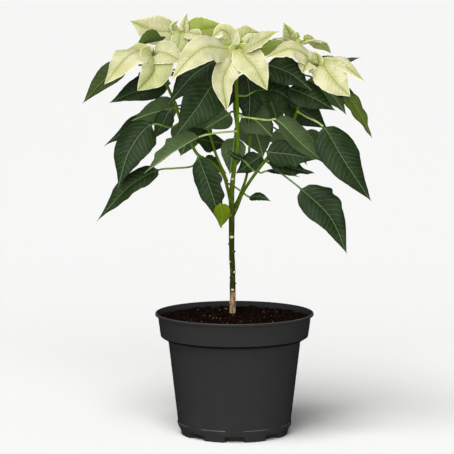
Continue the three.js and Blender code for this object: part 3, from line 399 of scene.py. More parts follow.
class Spine:
    """A smooth centripetal curve through given points, read by share of its length.

    Args:
        points: The points that it passes through, in metres.
    """

    MARKS = 200  # places that its length is summed over
    NUDGE = 1e-4  # step of the parameter that gives the way on
    LEAST = 1e-9  # no stretch between two points counts as shorter

    def __init__(self, points: Sequence[Vector]) -> None:
        first = points[0] * 2 - points[1]
        last = points[-1] * 2 - points[-2]
        self.points = [first, *points, last]
        self.spans = len(points) - 1
        marks = [self.at(i / self.MARKS) for i in range(self.MARKS + 1)]
        self.lengths = [0.0]
        for before, after in zip(marks, marks[1:]):
            self.lengths.append(self.lengths[-1] + (after - before).length)
        self.length = self.lengths[-1]

    def at(self, t: float) -> Vector:
        """Gives the point at a parameter, which is even from point to point."""
        place = min(max(t, 0), 1) * self.spans
        span = min(int(place), self.spans - 1)
        w = place - span
        p0, p1, p2, p3 = self.points[span : span + 4]
        pairs = ((p0, p1), (p1, p2), (p2, p3))
        d0, d1, d2 = (max((b - a).length, self.LEAST) ** 0.5 for a, b in pairs)
        leave = ((p1 - p0) / d0 - (p2 - p0) / (d0 + d1) + (p2 - p1) / d1) * d1
        arrive = ((p2 - p1) / d1 - (p3 - p1) / (d1 + d2) + (p3 - p2) / d2) * d1
        square = p2 * 3 - p1 * 3 - leave * 2 - arrive
        cube = p1 * 2 - p2 * 2 + leave + arrive
        return p1 + (leave + (square + cube * w) * w) * w

    def share_of_point(self, index: int) -> float:
        """Gives the share of the length that lies before a point."""
        return self.lengths[round(self.MARKS * index / self.spans)] / self.length

    def parameter(self, share: float) -> float:
        """Finds the parameter at a share of the length."""
        goal = share * self.length
        low, high = 0, self.MARKS
        while high - low > 1:
            middle = (low + high) // 2
            if self.lengths[middle] <= goal:
                low = middle
            else:
                high = middle
        step = self.lengths[high] - self.lengths[low]
        return (low + (goal - self.lengths[low]) / step) / self.MARKS

    def point(self, share: float) -> Vector:
        """Gives the point at a share of the length."""
        return self.at(self.parameter(share))

    def tangent(self, share: float) -> Vector:
        """Gives the way on at a share of the length."""
        t = self.parameter(share)
        ahead, behind = min(t + self.NUDGE, 1), max(t - self.NUDGE, 0)
        return (self.at(ahead) - self.at(behind)).normalized()


def unit_tube(sides: int, steps: int) -> Shape:
    """Makes a closed tube round Z, of radius 1, from height 0 to height 1.

    Args:
        sides: Count of faces round it.
        steps: Count of faces along it.

    Returns:
        The tube as a new bmesh.
    """
    bm = bmesh.new()
    bmesh.ops.create_cone(
        bm, cap_ends=True, segments=sides, radius1=1, radius2=1, depth=1,
        matrix=Matrix.Translation((0, 0, 0.5)),
    )
    uprights = [e for e in bm.edges if abs(e.verts[0].co.z - e.verts[1].co.z) > 0.5]
    bmesh.ops.subdivide_edges(bm, edges=uprights, cuts=steps - 1, use_grid_fill=True)
    return bm


def pour(target: Shape, source: Shape) -> None:
    """Adds one bmesh to another, layers and material slots included, and frees it."""
    mesh = bpy.data.meshes.new("poured")
    source.to_mesh(mesh)
    source.free()
    target.from_mesh(mesh)
    bpy.data.meshes.remove(mesh)


def add_ball(
    bm: Shape, middle: Vector, radii: Vector, fineness: int, slot: int = 0, turned: Euler | None = None
) -> list[bmesh.types.BMVert]:
    """Adds a ball to a bmesh.

    Args:
        bm: What it is added to.
        middle: Its middle, in metres.
        radii: Its radii along its own X, Y and Z, in metres.
        fineness: How many times its faces are split.
        slot: The material slot that its faces take.
        turned: How it is turned.

    Returns:
        Its corners.
    """
    place = Matrix.LocRotScale(middle, turned, radii)
    corners = bmesh.ops.create_icosphere(bm, subdivisions=fineness, radius=1, matrix=place)["verts"]
    for face in {face for corner in corners for face in corner.link_faces}:
        face.material_index = slot
    return corners


def turn_profile(profile: Sequence[Pair], steps: int) -> Shape:
    """Turns a profile of radius and height in millimetres round Z into a closed shell.

    Args:
        profile: Its points, from the axis to the axis.
        steps: Count of faces round the shell.

    Returns:
        The shell as a new bmesh, in metres, with its faces pointing outwards.
    """
    bm = bmesh.new()
    verts = [bm.verts.new((radius * MM, 0, height * MM)) for radius, height in profile]
    edges = [bm.edges.new(pair) for pair in zip(verts, verts[1:])]
    bmesh.ops.spin(
        bm, geom=[*verts, *edges], cent=(0, 0, 0), axis=UP, angle=math.tau, steps=steps, use_merge=True
    )
    bmesh.ops.remove_doubles(bm, verts=bm.verts, dist=JOINED)
    bmesh.ops.recalc_face_normals(bm, faces=bm.faces)
    return bm


def rounded(corners: Sequence[Point]) -> list[Pair]:
    """Rounds the corners of a profile.

    Args:
        corners: Radius, height and rounding of each corner. A rounding of 0 keeps it sharp.

    Returns:
        The profile's points.
    """
    profile = []
    for i, (radius, height, rounding) in enumerate(corners):
        here = Vector((radius, height))
        if rounding == 0 or i in (0, len(corners) - 1):
            profile.append((radius, height))
            continue
        before, after = Vector(corners[i - 1][:2]), Vector(corners[i + 1][:2])
        start = here + (before - here).normalized() * rounding
        end = here + (after - here).normalized() * rounding
        for step in range(CORNER_STEPS + 1):
            w = step / CORNER_STEPS
            bend = start * (1 - w) ** 2 + here * 2 * w * (1 - w) + end * w * w
            profile.append((bend.x, bend.y))
    return profile


def place_piece(
    bm: Shape,
    name: str,
    finishes: Sequence[bpy.types.Material],
    replaces: Sequence[str] = (),
    crease: float = 50,
) -> bpy.types.Object:
    """Makes a finished piece of the plant from a bmesh.

    Args:
        bm: Its shape, in the frame's place. It is freed.
        name: The piece's name.
        finishes: Its materials, in the order of its slots.
        replaces: The CAD nodes that it stands for.
        crease: Edges sharper than this angle in degrees are shaded as edges.

    Returns:
        The piece's object, riding on the one body.
    """
    mesh = bpy.data.meshes.new(name)
    bm.to_mesh(mesh)
    bm.free()
    for finish in finishes:
        mesh.materials.append(finish)
    mesh.shade_smooth()
    mesh.set_sharp_from_angle(angle=math.radians(crease))
    piece = bpy.data.objects.new(name, mesh)
    bpy.context.scene.collection.objects.link(piece)
    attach(piece, BODY)
    if replaces:
        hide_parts(*replaces)
    LOG.info("%s: %d faces", name, len(mesh.polygons))
    return piece


# ------------------------------------------------------------------------------ finishes


def linear(code: str) -> tuple[float, float, float, float]:
    """Turns an sRGB hex colour into the linear colour that a shader takes."""
    shares = (int(code[i : i + 2], 16) / 255 for i in (1, 3, 5))
    light = [s / 12.92 if s <= 0.04045 else ((s + 0.055) / 1.055) ** 2.4 for s in shares]
    return (*light, 1)


def add_node(
    tree: Tree,
    kind: str,
    settings: Mapping[str, object] | None = None,
    inputs: Mapping[str | int, object] | None = None,
) -> bpy.types.Node:
    """Adds a node to a tree.

    Args:
        tree: The tree that it joins.
        kind: Blender's name of the node's kind.
        settings: Its properties by name.
        inputs: A value or another node's output for each socket, by name or number.

    Returns:
        The node.
    """
    node = tree.nodes.new(kind)
    for name, value in (settings or {}).items():
        setattr(node, name, value)
    for socket, value in (inputs or {}).items():
        if isinstance(value, bpy.types.NodeSocket):
            tree.links.new(value, node.inputs[socket])
        else:
            node.inputs[socket].default_value = value
    return node


# Sockets of a colour Mix node, which are told apart by number.
SHARE, FIRST, SECOND, MIXED = 0, 6, 7, 2


def blend(tree: Tree, share: Socket, first: Socket | str, second: Socket | str) -> Socket:
    """Mixes two colours, each a hex code or another node's output, by a share."""
    colours = [linear(c) if isinstance(c, str) else c for c in (first, second)]
    node = add_node(tree, "ShaderNodeMix", {"data_type": "RGBA"}, {
        SHARE: share, FIRST: colours[0], SECOND: colours[1],
    })
    return node.outputs[MIXED]


def ramp(
    tree: Tree, value: Socket, start: float, end: float, low: float = 0, high: float = 1
) -> Socket:
    """Turns a value that goes from start to end smoothly into one from low to high."""
    node = add_node(tree, "ShaderNodeMapRange", {"interpolation_type": "SMOOTHSTEP"}, {
        "Value": value, "From Min": start, "From Max": end, "To Min": low, "To Max": high,
    })
    return node.outputs["Result"]


def calculate(tree: Tree, operation: str, *values: Socket | float) -> Socket:
    """Works out one value from others by an operation of Blender's Math node."""
    return add_node(tree, "ShaderNodeMath", {"operation": operation}, dict(enumerate(values))).outputs[0]


def split(tree: Tree, vector: Socket) -> Sequence[Socket]:
    """Splits a vector into its X, Y and Z."""
    return add_node(tree, "ShaderNodeSeparateXYZ", {}, {"Vector": vector}).outputs


def object_place(tree: Tree) -> Socket:
    """Gives the place in the object's own space, in metres."""
    return add_node(tree, "ShaderNodeTexCoord").outputs["Object"]


def paint(tree: Tree, shader: bpy.types.Node, colour: Socket) -> None:
    """Gives a shader its colour."""
    tree.links.new(colour, shader.inputs["Base Color"])


def relief(tree: Tree, shader: bpy.types.Node, height: Socket, rise: float, strength: float) -> None:
    """Gives a shader a fine relief whose full height is rise, in millimetres."""
    bump = add_node(tree, "ShaderNodeBump", {}, {
        "Strength": strength, "Distance": rise * MM, "Height": height,
    })
    tree.links.new(bump.outputs["Normal"], shader.inputs["Normal"])


@dataclass(frozen=True)
class Grain:
    """A soft random pattern that is fixed in the object.

    size is that of its blots in millimetres, detail counts its finer layers, and stretch is its scale
    along X, Y and Z. Drawn as blots, it turns from one to the other between the two values of span.
    """

    size: float
    detail: float = 3
    stretch: Point = (1, 1, 1)
    span: Pair = (0.38, 0.62)

    def cloud(self, tree: Tree) -> Socket:
        """Gives the pattern as a value from 0 to 1 that is mostly near the middle."""
        turned = add_node(tree, "ShaderNodeMapping", {}, {
            "Vector": object_place(tree), "Scale": self.stretch,
        })
        pattern = add_node(tree, "ShaderNodeTexNoise", {}, {
            "Vector": turned.outputs["Vector"], "Scale": 1 / (self.size * MM), "Detail": self.detail,
        })
        return pattern.outputs["Fac"]

    def blots(self, tree: Tree, low: float = 0, high: float = 1) -> Socket:
        """Gives the pattern as blots of low and high."""
        return ramp(tree, self.cloud(tree), *self.span, low, high)


@dataclass(frozen=True)
class Finish:
    """What every finish has: a plain name, its gloss, and how deep light gets into it."""

    name: str
    roughness: float
    ior: float = 1.45
    specular: float = 0.14  # low, as light from all round would veil the colours
    depth: float = 0  # share of light that enters the tissue
    reach: float = 1.5  # how far it travels there, in millimetres
    reach_of_colours: Point = (1, 1, 0.5)  # the share of that for red, green and blue

    def make(self) -> bpy.types.Material:
        """Builds the finish as a material."""
        material = bpy.data.materials.new(self.name)
        material.use_nodes = True
        tree = material.node_tree
        tree.nodes.clear()
        shader = add_node(tree, "ShaderNodeBsdfPrincipled", {}, {
            "Roughness": self.roughness,
            "IOR": self.ior,
            "Specular IOR Level": self.specular,
        })
        if self.depth:
            shader.inputs["Subsurface Weight"].default_value = self.depth
            shader.inputs["Subsurface Radius"].default_value = self.reach_of_colours
            shader.inputs["Subsurface Scale"].default_value = self.reach * MM
        add_node(tree, "ShaderNodeOutputMaterial", {}, {"Surface": shader.outputs["BSDF"]})
        self.dress(tree, shader)
        return material

    def dress(self, tree: Tree, shader: bpy.types.Node) -> None:
        """Gives the shader its colour and its small relief. Each finish has its own."""
        raise NotImplementedError


@dataclass(frozen=True)
class Lamina(Finish):
    """The skin of a leaf or bract: tissue, a light midrib, side veins and a fine net between them.

    Widths and distances are millimetres. A pair says where a change starts and where it ends.
    """

    tissue: str = "#16230D"
    patch: str = "#1E2E13"
    patches: Grain = Grain(22, span=(0.36, 0.64))
    young: str = "#7C8F14"  # colour of a fresh blade
    base: str = "#2C4322"  # colour near the stalk
    base_reach: float = 0.1  # share of the blade that it covers
    heart: float = 0  # how much of the base's colour runs along the midrib, partly its own green and partly painted shade of the crease there
    heart_reach: float = 7  # and how far from it
    edge: str = "#141F0F"
    edge_width: float = 1.1
    edge_core: float = 0.4  # share of that width in full colour
    edge_strength: float = 0.9
    rib: str = "#62794E"
    rib_width: float = 0.48  # drawn a little wider than life to show
    rib_fade: Pair = (0.3, 0.8)  # shares of that width
    rib_strength: float = 0.9
    vein: str = "#4E6442"
    vein_width: Pair = (0.012, 0.09)  # shares of the space between two side veins
    vein_strength: float = 0.5
    vein_sway: float = 0.6  # how far side veins wander, as such a share
    vein_swings: Grain = Grain(9)
    vein_rim: Pair = (0.8, 4)  # they fade this near to the edge
    vein_reach: float = 60  # and over this far from the midrib
    vein_far: float = 0.25  # share of a side vein that is left there
    vein_patches: Grain = Grain(13, 2, span=(0.4, 0.6))  # they show in patches
    vein_least: float = 0.4  # share of a side vein that still shows between the patches
    net: float = 1.6  # size of the finest net's meshes
    net_width: float = 0.16  # of its threads, as a share of a mesh
    net_strength: float = 0.1
    net_rise: float = 0.12  # how far the tissue stands out of the net
    net_relief: float = 0.5

    def dress(self, tree: Tree, shader: bpy.types.Node) -> None:
        """Colours the tissue, then draws the veins that the blade's own vein counts place."""
        veins = add_node(tree, "ShaderNodeAttribute", {"attribute_name": "veins"}).outputs["Vector"]
        count, off_rib, off_edge = split(tree, veins)
        along = split(tree, add_node(tree, "ShaderNodeUVMap", {"uv_map": "blade"}).outputs["UV"])["Y"]
        fresh = add_node(tree, "ShaderNodeAttribute", {"attribute_name": "fresh"}).outputs["Fac"]

        tissue = blend(tree, self.patches.blots(tree), self.tissue, self.patch)
        tissue = blend(tree, ramp(tree, along, 0, self.base_reach, 1, 0), tissue, self.base)
        # Darker olive along the midrib: partly the blade's own colour, partly painted shade of its crease.
        if self.heart:
            heart = ramp(tree, off_rib, 0, self.heart_reach, self.heart, 0)
            tissue = blend(tree, heart, tissue, self.base)
        tissue = blend(tree, fresh, tissue, self.young)
        core = self.edge_width * self.edge_core
        edge = ramp(tree, off_edge, core, self.edge_width, self.edge_strength, 0)
        tissue = blend(tree, edge, tissue, self.edge)

        # A side vein lies wherever the count is whole. The nearest is half a space away at most.
        bent = calculate(tree, "MULTIPLY_ADD", self.vein_swings.cloud(tree), self.vein_sway, count)
        away = calculate(tree, "PINGPONG", bent, 0.5)
        side_vein = ramp(tree, away, *self.vein_width, 1, 0)
        for share in (
            ramp(tree, off_edge, *self.vein_rim, 0, self.vein_strength),
            ramp(tree, off_rib, 0, self.vein_reach, 1, self.vein_far),
            self.vein_patches.blots(tree, self.vein_least, 1),
        ):
            side_vein = calculate(tree, "MULTIPLY", side_vein, share)
        cells = add_node(tree, "ShaderNodeTexVoronoi", {"feature": "DISTANCE_TO_EDGE"}, {
            "Vector": object_place(tree), "Scale": 1 / (self.net * MM),
        }).outputs["Distance"]
        net = ramp(tree, cells, 0, self.net_width, self.net_strength, 0)
        rib_start, rib_end = (self.rib_width * share for share in self.rib_fade)
        rib = ramp(tree, off_rib, rib_start, rib_end, self.rib_strength, 0)
        colour = blend(tree, net, tissue, self.vein)
        colour = blend(tree, side_vein, colour, self.vein)
        paint(tree, shader, blend(tree, rib, colour, self.rib))
        relief(tree, shader, cells, self.net_rise, self.net_relief)


@dataclass(frozen=True)
class Mottled(Finish):
    """Any tissue of two colours that run into each other, with a fine grain."""

    first: str = "#FFFFFF"
    second: str = "#FFFFFF"
    mottling: Grain = Grain(3)
    pits: Grain = Grain(0.5)
    rise: float = 0.1
    strength: float = 0.6

    def dress(self, tree: Tree, shader: bpy.types.Node) -> None:
        """Colours the tissue with blots and gives it a fine grain."""
        paint(tree, shader, blend(tree, self.mottling.blots(tree), self.first, self.second))
        relief(tree, shader, self.pits.cloud(tree), self.rise, self.strength)


@dataclass(frozen=True)
class Stalk(Mottled):
    """Smooth stalk skin: light green, with broad faint blotches."""

    first: str = "#6C8738"
    second: str = "#4C6628"
    mottling: Grain = Grain(9, span=(0.35, 0.65))
    pits: Grain = Grain(0.8)
    rise: float = 0.15
    strength: float = 0.4


@dataclass(frozen=True)
class Peat(Mottled):
    """Moist peat: nearly black, with rusty fibres."""

    first: str = "#070302"
    second: str = "#170B07"
    mottling: Grain = Grain(2.5, 5, span=(0.45, 0.7))
    pits: Grain = Grain(1.2, 6)
    rise: float = 1.2
    strength: float = 0.9


@dataclass(frozen=True)
class Rind(Finish):
    """The main stem's skin: corky bark at the foot, then dark green, then fresh green above.

    Heights are millimetres above the ground.
    """

    bark: str = "#A58B69"
    bark_dark: str = "#66503A"
    cork: Grain = Grain(1.6, 4, (1, 1, 0.25), (0.4, 0.62))
    bark_top: float = 158  # from here up the bark turns green,
    bark_fade: float = 5  # over this height,
    bark_ragged: float = 14  # and up to this much lower in patches
    bark_patches: Grain = Grain(4)
    old: str = "#242F05"
    young: str = "#4E680D"
    green_low: float = 195  # where the dark green starts to turn fresh
    green_high: float = 335
    streak: str = "#8A9C4A"
    streaks: Grain = Grain(2.2, 3, (1, 1, 0.3), (0.55, 0.75))
    streak_strength: float = 0.5
    furrows: Grain = Grain(1.2, 4, (1, 1, 0.4))
    rise: float = 0.5
    strength: float = 0.6

    def dress(self, tree: Tree, shader: bpy.types.Node) -> None:
        """Colours the skin by height, with cork stripes and small pale streaks."""
        height = split(tree, object_place(tree))["Z"]
        ragged = calculate(
            tree, "MULTIPLY_ADD", self.bark_patches.cloud(tree), self.bark_ragged * MM, height
        )
        bark = blend(tree, self.cork.blots(tree), self.bark, self.bark_dark)
        age = ramp(tree, height, self.green_low * MM, self.green_high * MM)
        green = blend(tree, age, self.old, self.young)
        streaks = calculate(tree, "MULTIPLY", self.streaks.blots(tree), self.streak_strength)
        green = blend(tree, streaks, green, self.streak)
        low = self.bark_top * MM
        paint(tree, shader, blend(tree, ramp(tree, ragged, low, low + self.bark_fade * MM), bark, green))
        relief(tree, shader, self.furrows.cloud(tree), self.rise, self.strength)


@dataclass(frozen=True)
class MouldedPlastic(Finish):
    """Black polypropylene as it leaves a mould: matt, with a spark-eroded grain and faint scuffs."""

    body: str = "#2A2A2A"
    scuff: str = "#32312D"
    dust: Grain = Grain(14, span=(0.4, 0.7))
    dust_foot: float = 0.6  # strength of the dust on the ground
    dust_side: float = 0.12  # and from dust_top up
    dust_top: float = 40  # millimetres above the ground
    sheen: Grain = Grain(30, 2, (1, 1, 0.3), (0.3, 0.7))
    polished: float = 0.04  # how far the roughness falls in the sheen's patches
    dulled: float = 0.05  # and how far it rises between them
    spark: Grain = Grain(0.7, 2)
    rise: float = 0.05
    strength: float = 0.35

    def dress(self, tree: Tree, shader: bpy.types.Node) -> None:
        """Colours the plastic, dusts its foot and gives it the mould's grain."""
        height = split(tree, object_place(tree))["Z"]
        settled = ramp(tree, height, 0, self.dust_top * MM, self.dust_foot, self.dust_side)
        dust = calculate(tree, "MULTIPLY", settled, self.dust.blots(tree))
        paint(tree, shader, blend(tree, dust, self.body, self.scuff))
        gloss = self.sheen.blots(tree, self.roughness - self.polished, self.roughness + self.dulled)
        tree.links.new(gloss, shader.inputs["Roughness"])
        relief(tree, shader, self.spark.cloud(tree), self.rise, self.strength)


@dataclass(frozen=True)
class Paper(Finish):
    """The studio's plain pale floor."""

    colour: str = "#FCFCFB"

    def dress(self, tree: Tree, shader: bpy.types.Node) -> None:
        """Colours the floor evenly."""
        shader.inputs["Base Color"].default_value = linear(self.colour)


class Palette(Enum):
    """Every finish of the object, with what it gives the eye."""

    # Waxy leaf skin, dark and quiet, so that its pale veins stand out.
    LEAF_UPPER = Lamina("leaf_upper_skin", 0.42, specular=0.1)
    # The dull, lighter back of a leaf, which shows where a blade turns over.
    LEAF_UNDER = Lamina(
        "leaf_under_skin", 0.6, tissue="#3C4E2C", patch="#475A36", vein="#5F7348", rib="#7C9054",
        edge="#32432A", base="#4A5C2E", rib_width=1.1, vein_strength=0.4,
    )
    # Smooth green leaf stalks, thin light lines across the dark crown.
    LEAF_STALK = Stalk("leaf_stalk_skin", 0.45)
    # The paler stalks of a few leaves, the brightest of those lines.
    PALE_STALK = Stalk("pale_stalk_skin", 0.45, first="#B4C67E", second="#94AC5C")
    # A tender new leaf, which shines yellow-green before the stem.
    YOUNG_UPPER = Lamina(
        "young_leaf_skin", 0.5, tissue="#4A5B04", patch="#546607", vein="#667A14", rib="#6E821C",
        edge="#425204", base="#54650A", specular=0.06,
    )
    # A cream bract: matt, a little translucent, and greenish along its veins and where it narrows, with an
    # olive band along the midrib that is partly its own colour and partly painted shade.
    BRACT_UPPER = Lamina(
        "cream_bract_skin", 0.55, depth=0.12, tissue="#C5C29E", patch="#B5B486", vein="#7F8542",
        rib="#5E6428", edge="#DCDAB6", young="#7E9020", base="#8F9840", base_reach=0.36, heart=0.45,
        heart_reach=4.5, vein_strength=0.9, vein_reach=14, vein_least=0.15, rib_width=0.46,
        patches=Grain(16, span=(0.36, 0.64)), vein_patches=Grain(9, 2, span=(0.4, 0.6)),
    )
    # The greener back of a bract, with a stouter rib, seen where a tip curls.
    BRACT_UNDER = Lamina(
        "bract_under_skin", 0.6, depth=0.2, tissue="#C3C784", patch="#B6BC70", vein="#9AA24E",
        rib="#8C9640", edge="#D2D39C", young="#7E9434", base="#A2AE44", base_reach=0.5,
        vein_strength=0.6, rib_width=1.1,
    )
    # The narrow feet of the bracts and their button, the yellow-green heart of a head.
    BRACT_CLAW = Stalk("bract_claw_skin", 0.5, first="#C4CC5A", second="#A9B84A")
    # The stem's rind: tan cork at the foot that turns into dark and then fresh green.
    STEM = Rind("stem_rind", 0.5, specular=0.05)
    # Dry cork where a leaf has dropped, the pale knots up the stem.
    SCAR = Mottled("leaf_scar_cork", 0.7, first="#CFCBA6", second="#A99C7C", mottling=Grain(2))
    # The green urns of the true flowers, with a slight shine.
    CUP = Mottled("cyathium_skin", 0.4, first="#A4BC3C", second="#7E9C34", mottling=Grain(2), depth=0.1)
    # Wet nectar glands, small yellow glints.
    GLAND = Mottled("nectar_gland", 0.25, first="#D9C42E", second="#E6D65A", mottling=Grain(1))
    # Dusty pollen, light and without any shine.
    ANTHER = Mottled("anther_pollen", 0.8, first="#E0D87A", second="#C9B23A", mottling=Grain(0.8))
    # Moulded polypropylene without gloss, which keeps the pot one dark and quiet form.
    POT = MouldedPlastic("black_polypropylene", 0.45, ior=1.49, specular=0)
    # The same painted lighter on the upward faces of the lip and the foot's ridge: partly scuffs where
    # hands and benches rub it, partly painted highlight, the thin light lines of the lip and the foot.
    POT_SCUFF_AND_HIGHLIGHT = MouldedPlastic(
        "scuffed_and_highlit_pot_lip", 0.42, ior=1.49, specular=0.3, body="#484645", scuff="#6A6664"
    )
    # The same painted nearly black on the band's downward faces: painted shade, the black line under the
    # rim band.
    POT_STEP_SHADE = MouldedPlastic(
        "painted_shade_polypropylene", 0.5, ior=1.49, specular=0, body="#101010", scuff="#161615"
    )
    # Moist peat, nearly black with a rusty tinge.
    PEAT = Peat("moist_peat", 0.95, specular=0.04)
    # Drier crumbs on top, a shade lighter, which make the surface look loose.
    CRUMB = Mottled(
        "peat_crumb", 0.95, specular=0.04, first="#0E0704", second="#24130C", mottling=Grain(1.5),
        pits=Grain(0.8), rise=0.5,
    )
    # Bits of bark, the light specks on the peat.
    CHIP = Mottled(
        "bark_chip", 0.85, first="#58433A", second="#7C6C62", mottling=Grain(2), pits=Grain(0.6), rise=0.3
    )
    # Plain pale paper, which takes the shadow and nothing else.
    FLOOR = Paper("pale_paper", 0.9)


def coats(*finishes: Palette) -> list[bpy.types.Material]:
    """Makes the materials of a piece, in the order of its slots."""
    return [finish.value.make() for finish in finishes]


# ------------------------------------------------------------------------------ pot


class PotTone(Enum):
    """The pot's three finishes, in the order of its material slots: plain, lighter by scuffing and painted
    highlight, and darker by painted shade.
    """

    PLAIN = 0
    SCUFFED_AND_HIGHLIT = 1
    PAINTED_SHADE = 2


@dataclass
class NurseryPot:
    """An injection-moulded nursery pot with a rim band, a rolled lip and eight drainage notches."""

    # Radius, height and rounding of each corner, from the axis to the axis.
    outside: tuple[Point, ...] = (
        (0, 0, 0), (57.9, 0, 1.2), (58.4, 4.4, 0), (61.3, 10.6, 0.4), (61.5, 12.6, 0.2), (60.9, 13.2, 0),
        (71.1, 100.8, 1.5), (75, 103.23, 0), (79.3, 105.9, 0.8), (82.3, 128, 0.5), (85.1, 128.3, 0.9),
        (85.1, 131, 1.0), (83.3, 131, 0), (0, 131, 0),
    )
    inside: tuple[Point, ...] = (
        (0, 2, 0), (55.2, 2, 1.5), (56.8, 5.3, 0), (59.4, 11, 0), (69.5, 102.4, 1.5), (77.5, 107.3, 1.2),
        (80.7, 127, 1.5), (83.0, 130, 0.7), (83.6, 132, 0), (0, 132, 0),
    )
    steps: int = 192
    wall: float = 1.6
    notch_count: int = 8
    notch_height: float = 6.5
    notch_below: float = 1  # the wedge that cuts a notch reaches this far under the foot
    notch_start: float = 50  # a notch flares from here, with these half widths at its foot and top
    notch_inner: Pair = (8.5, 5.2)
    notch_end: float = 70
    notch_outer: Pair = (17.8, 20.5)
    notch_round: float = 1.6
    notch_round_steps: int = 4
    drain_radius: float = 3.5
    drain_centre: float = 54.8
    drain_sides: int = 24
    lip_slope: float = 0.7  # painted lighter, as scuffing and painted highlight, are the faces of the lip that look up at least so steeply
    lip_level: float = 129.5  # and lie above this,
    ridge_slope: float = 0.4  # and those of the foot's ridge that look up at least so
    ridge_levels: Pair = (12, 13.3)  # and lie between these,
    ridge_gap: float = math.radians(9)  # but not nearer than this to a notch's middle
    step_levels: Pair = (103.2, 108)  # faces between these that look down lie under the band and are painted with shade

    def clear_of_notches(self, spot: Vector) -> bool:
        """Tells whether a spot on the wall lies between two notches."""
        part = math.tau / self.notch_count
        turn = (math.atan2(spot.y, spot.x) + math.pi / 2) % part
        return min(turn, part - turn) > self.ridge_gap

    def wear(self, face: bmesh.types.BMFace) -> PotTone:
        """Tells which finish a face takes: plain, scuffed with painted highlight, or painted shade."""
        middle = face.calc_center_median()
        height, slope = middle.z / MM, face.normal.z
        on_lip = slope > self.lip_slope and height > self.lip_level
        on_ridge = slope > self.ridge_slope and self.ridge_levels[0] < height < self.ridge_levels[1]
        # Upward faces of the lip, and of the ridge between the notches, are painted lighter: partly
        # scuffing, partly painted highlight.
        if on_lip or on_ridge and self.clear_of_notches(middle):
            return PotTone.SCUFFED_AND_HIGHLIT
        # Downward faces under the rim band take the painted shade.
        if slope < -self.ridge_slope and self.step_levels[0] < height < self.step_levels[1]:
            return PotTone.PAINTED_SHADE
        return PotTone.PLAIN

    def directions(self) -> list[float]:
        """The turns of the notches round Z, with one at the front."""
        return [i * math.tau / self.notch_count - math.pi / 2 for i in range(self.notch_count)]

    def notches(self, grown: float) -> Shape:
        """Makes the wedges that the notches leave open, each grown by an amount in millimetres."""
        whole = bmesh.new()
        for turn in self.directions():
            bm = bmesh.new()
            bmesh.ops.create_cube(bm, size=1)
            for vert in bm.verts:
                foot, roof = self.notch_inner if vert.co.x < 0 else self.notch_outer
                low = vert.co.z < 0
                vert.co = Vector((
                    mix(self.notch_start - grown, self.notch_end, vert.co.x + 0.5),
                    2 * vert.co.y * ((foot if low else roof) + grown),
                    -self.notch_below if low else self.notch_height + grown,
                )) * MM
            rims = [e for e in bm.edges if all(v.co.z > 0 for v in e.verts)]
            bmesh.ops.bevel(
                bm, geom=rims, offset=self.notch_round * MM, segments=self.notch_round_steps,
                profile=0.5, affect="EDGES", material=-1,
            )
            bmesh.ops.rotate(bm, verts=bm.verts, cent=(0, 0, 0), matrix=Matrix.Rotation(turn, 3, "Z"))
            pour(whole, bm)
        return whole

    def drains(self) -> Shape:
        """Makes the plugs that the drain holes leave open."""
        whole = bmesh.new()
        for turn in self.directions():
            place = Matrix.Rotation(turn, 4, "Z") @ Matrix.Translation(
                Vector((self.drain_centre, 0, self.notch_height)) * MM
            )
            bmesh.ops.create_cone(
                whole, cap_ends=True, segments=self.drain_sides, radius1=self.drain_radius * MM,
                radius2=self.drain_radius * MM, depth=self.notch_height * MM, matrix=place,
            )
        return whole

    def build(self) -> None:
        """Turns the pot, cuts its notches and drain holes, and finishes it."""
        hollow = carve(turn_profile(rounded(self.inside), self.steps), [self.notches(self.wall)])
        solid = turn_profile(rounded(self.outside), self.steps)
        pot = carve(solid, [self.notches(0), hollow, self.drains()])
        for face in pot.faces:
            face.normal_update()
            face.material_index = self.wear(face).value
        finishes = coats(Palette.POT, Palette.POT_SCUFF_AND_HIGHLIGHT, Palette.POT_STEP_SHADE)
        place_piece(pot, "nursery_pot", finishes, ["pot"], crease=35)


def carve(body: Shape, cutters: Sequence[Shape]) -> Shape:
    """Cuts closed shapes out of a closed body.

    Args:
        body: What is cut. It is freed.
        cutters: What is cut away, in order. They are freed.

    Returns:
        What is left, as a new bmesh.
    """
    collection = bpy.context.scene.collection
    objects = []
    for i, bm in enumerate([body, *cutters]):
        bmesh.ops.recalc_face_normals(bm, faces=bm.faces)
        mesh = bpy.data.meshes.new(f"carving_{i}")
        bm.to_mesh(mesh)
        bm.free()
        carving = bpy.data.objects.new(mesh.name, mesh)
        collection.objects.link(carving)
        objects.append(carving)
    for cutter in objects[1:]:
        modifier = objects[0].modifiers.new("cut", "BOOLEAN")
        modifier.operation = "DIFFERENCE"
        modifier.solver = "EXACT"
        modifier.object = cutter
    graph = bpy.context.evaluated_depsgraph_get()
    cut = bmesh.new()
    cut.from_object(objects[0], graph)
    for carving in objects:
        mesh = carving.data
        bpy.data.objects.remove(carving)
        bpy.data.meshes.remove(mesh)
    return cut


# ------------------------------------------------------------------------------ soil


@dataclass(frozen=True)
class Litter:
    """Loose bits on the soil: their piece's name, their finish and their count.

    sizes are their least and greatest radius in millimetres, and flat is a bit's scale along its own
    X, Y and Z.
    """

    name: str
    finish: Palette
    count: int
    sizes: Pair
    flat: Point


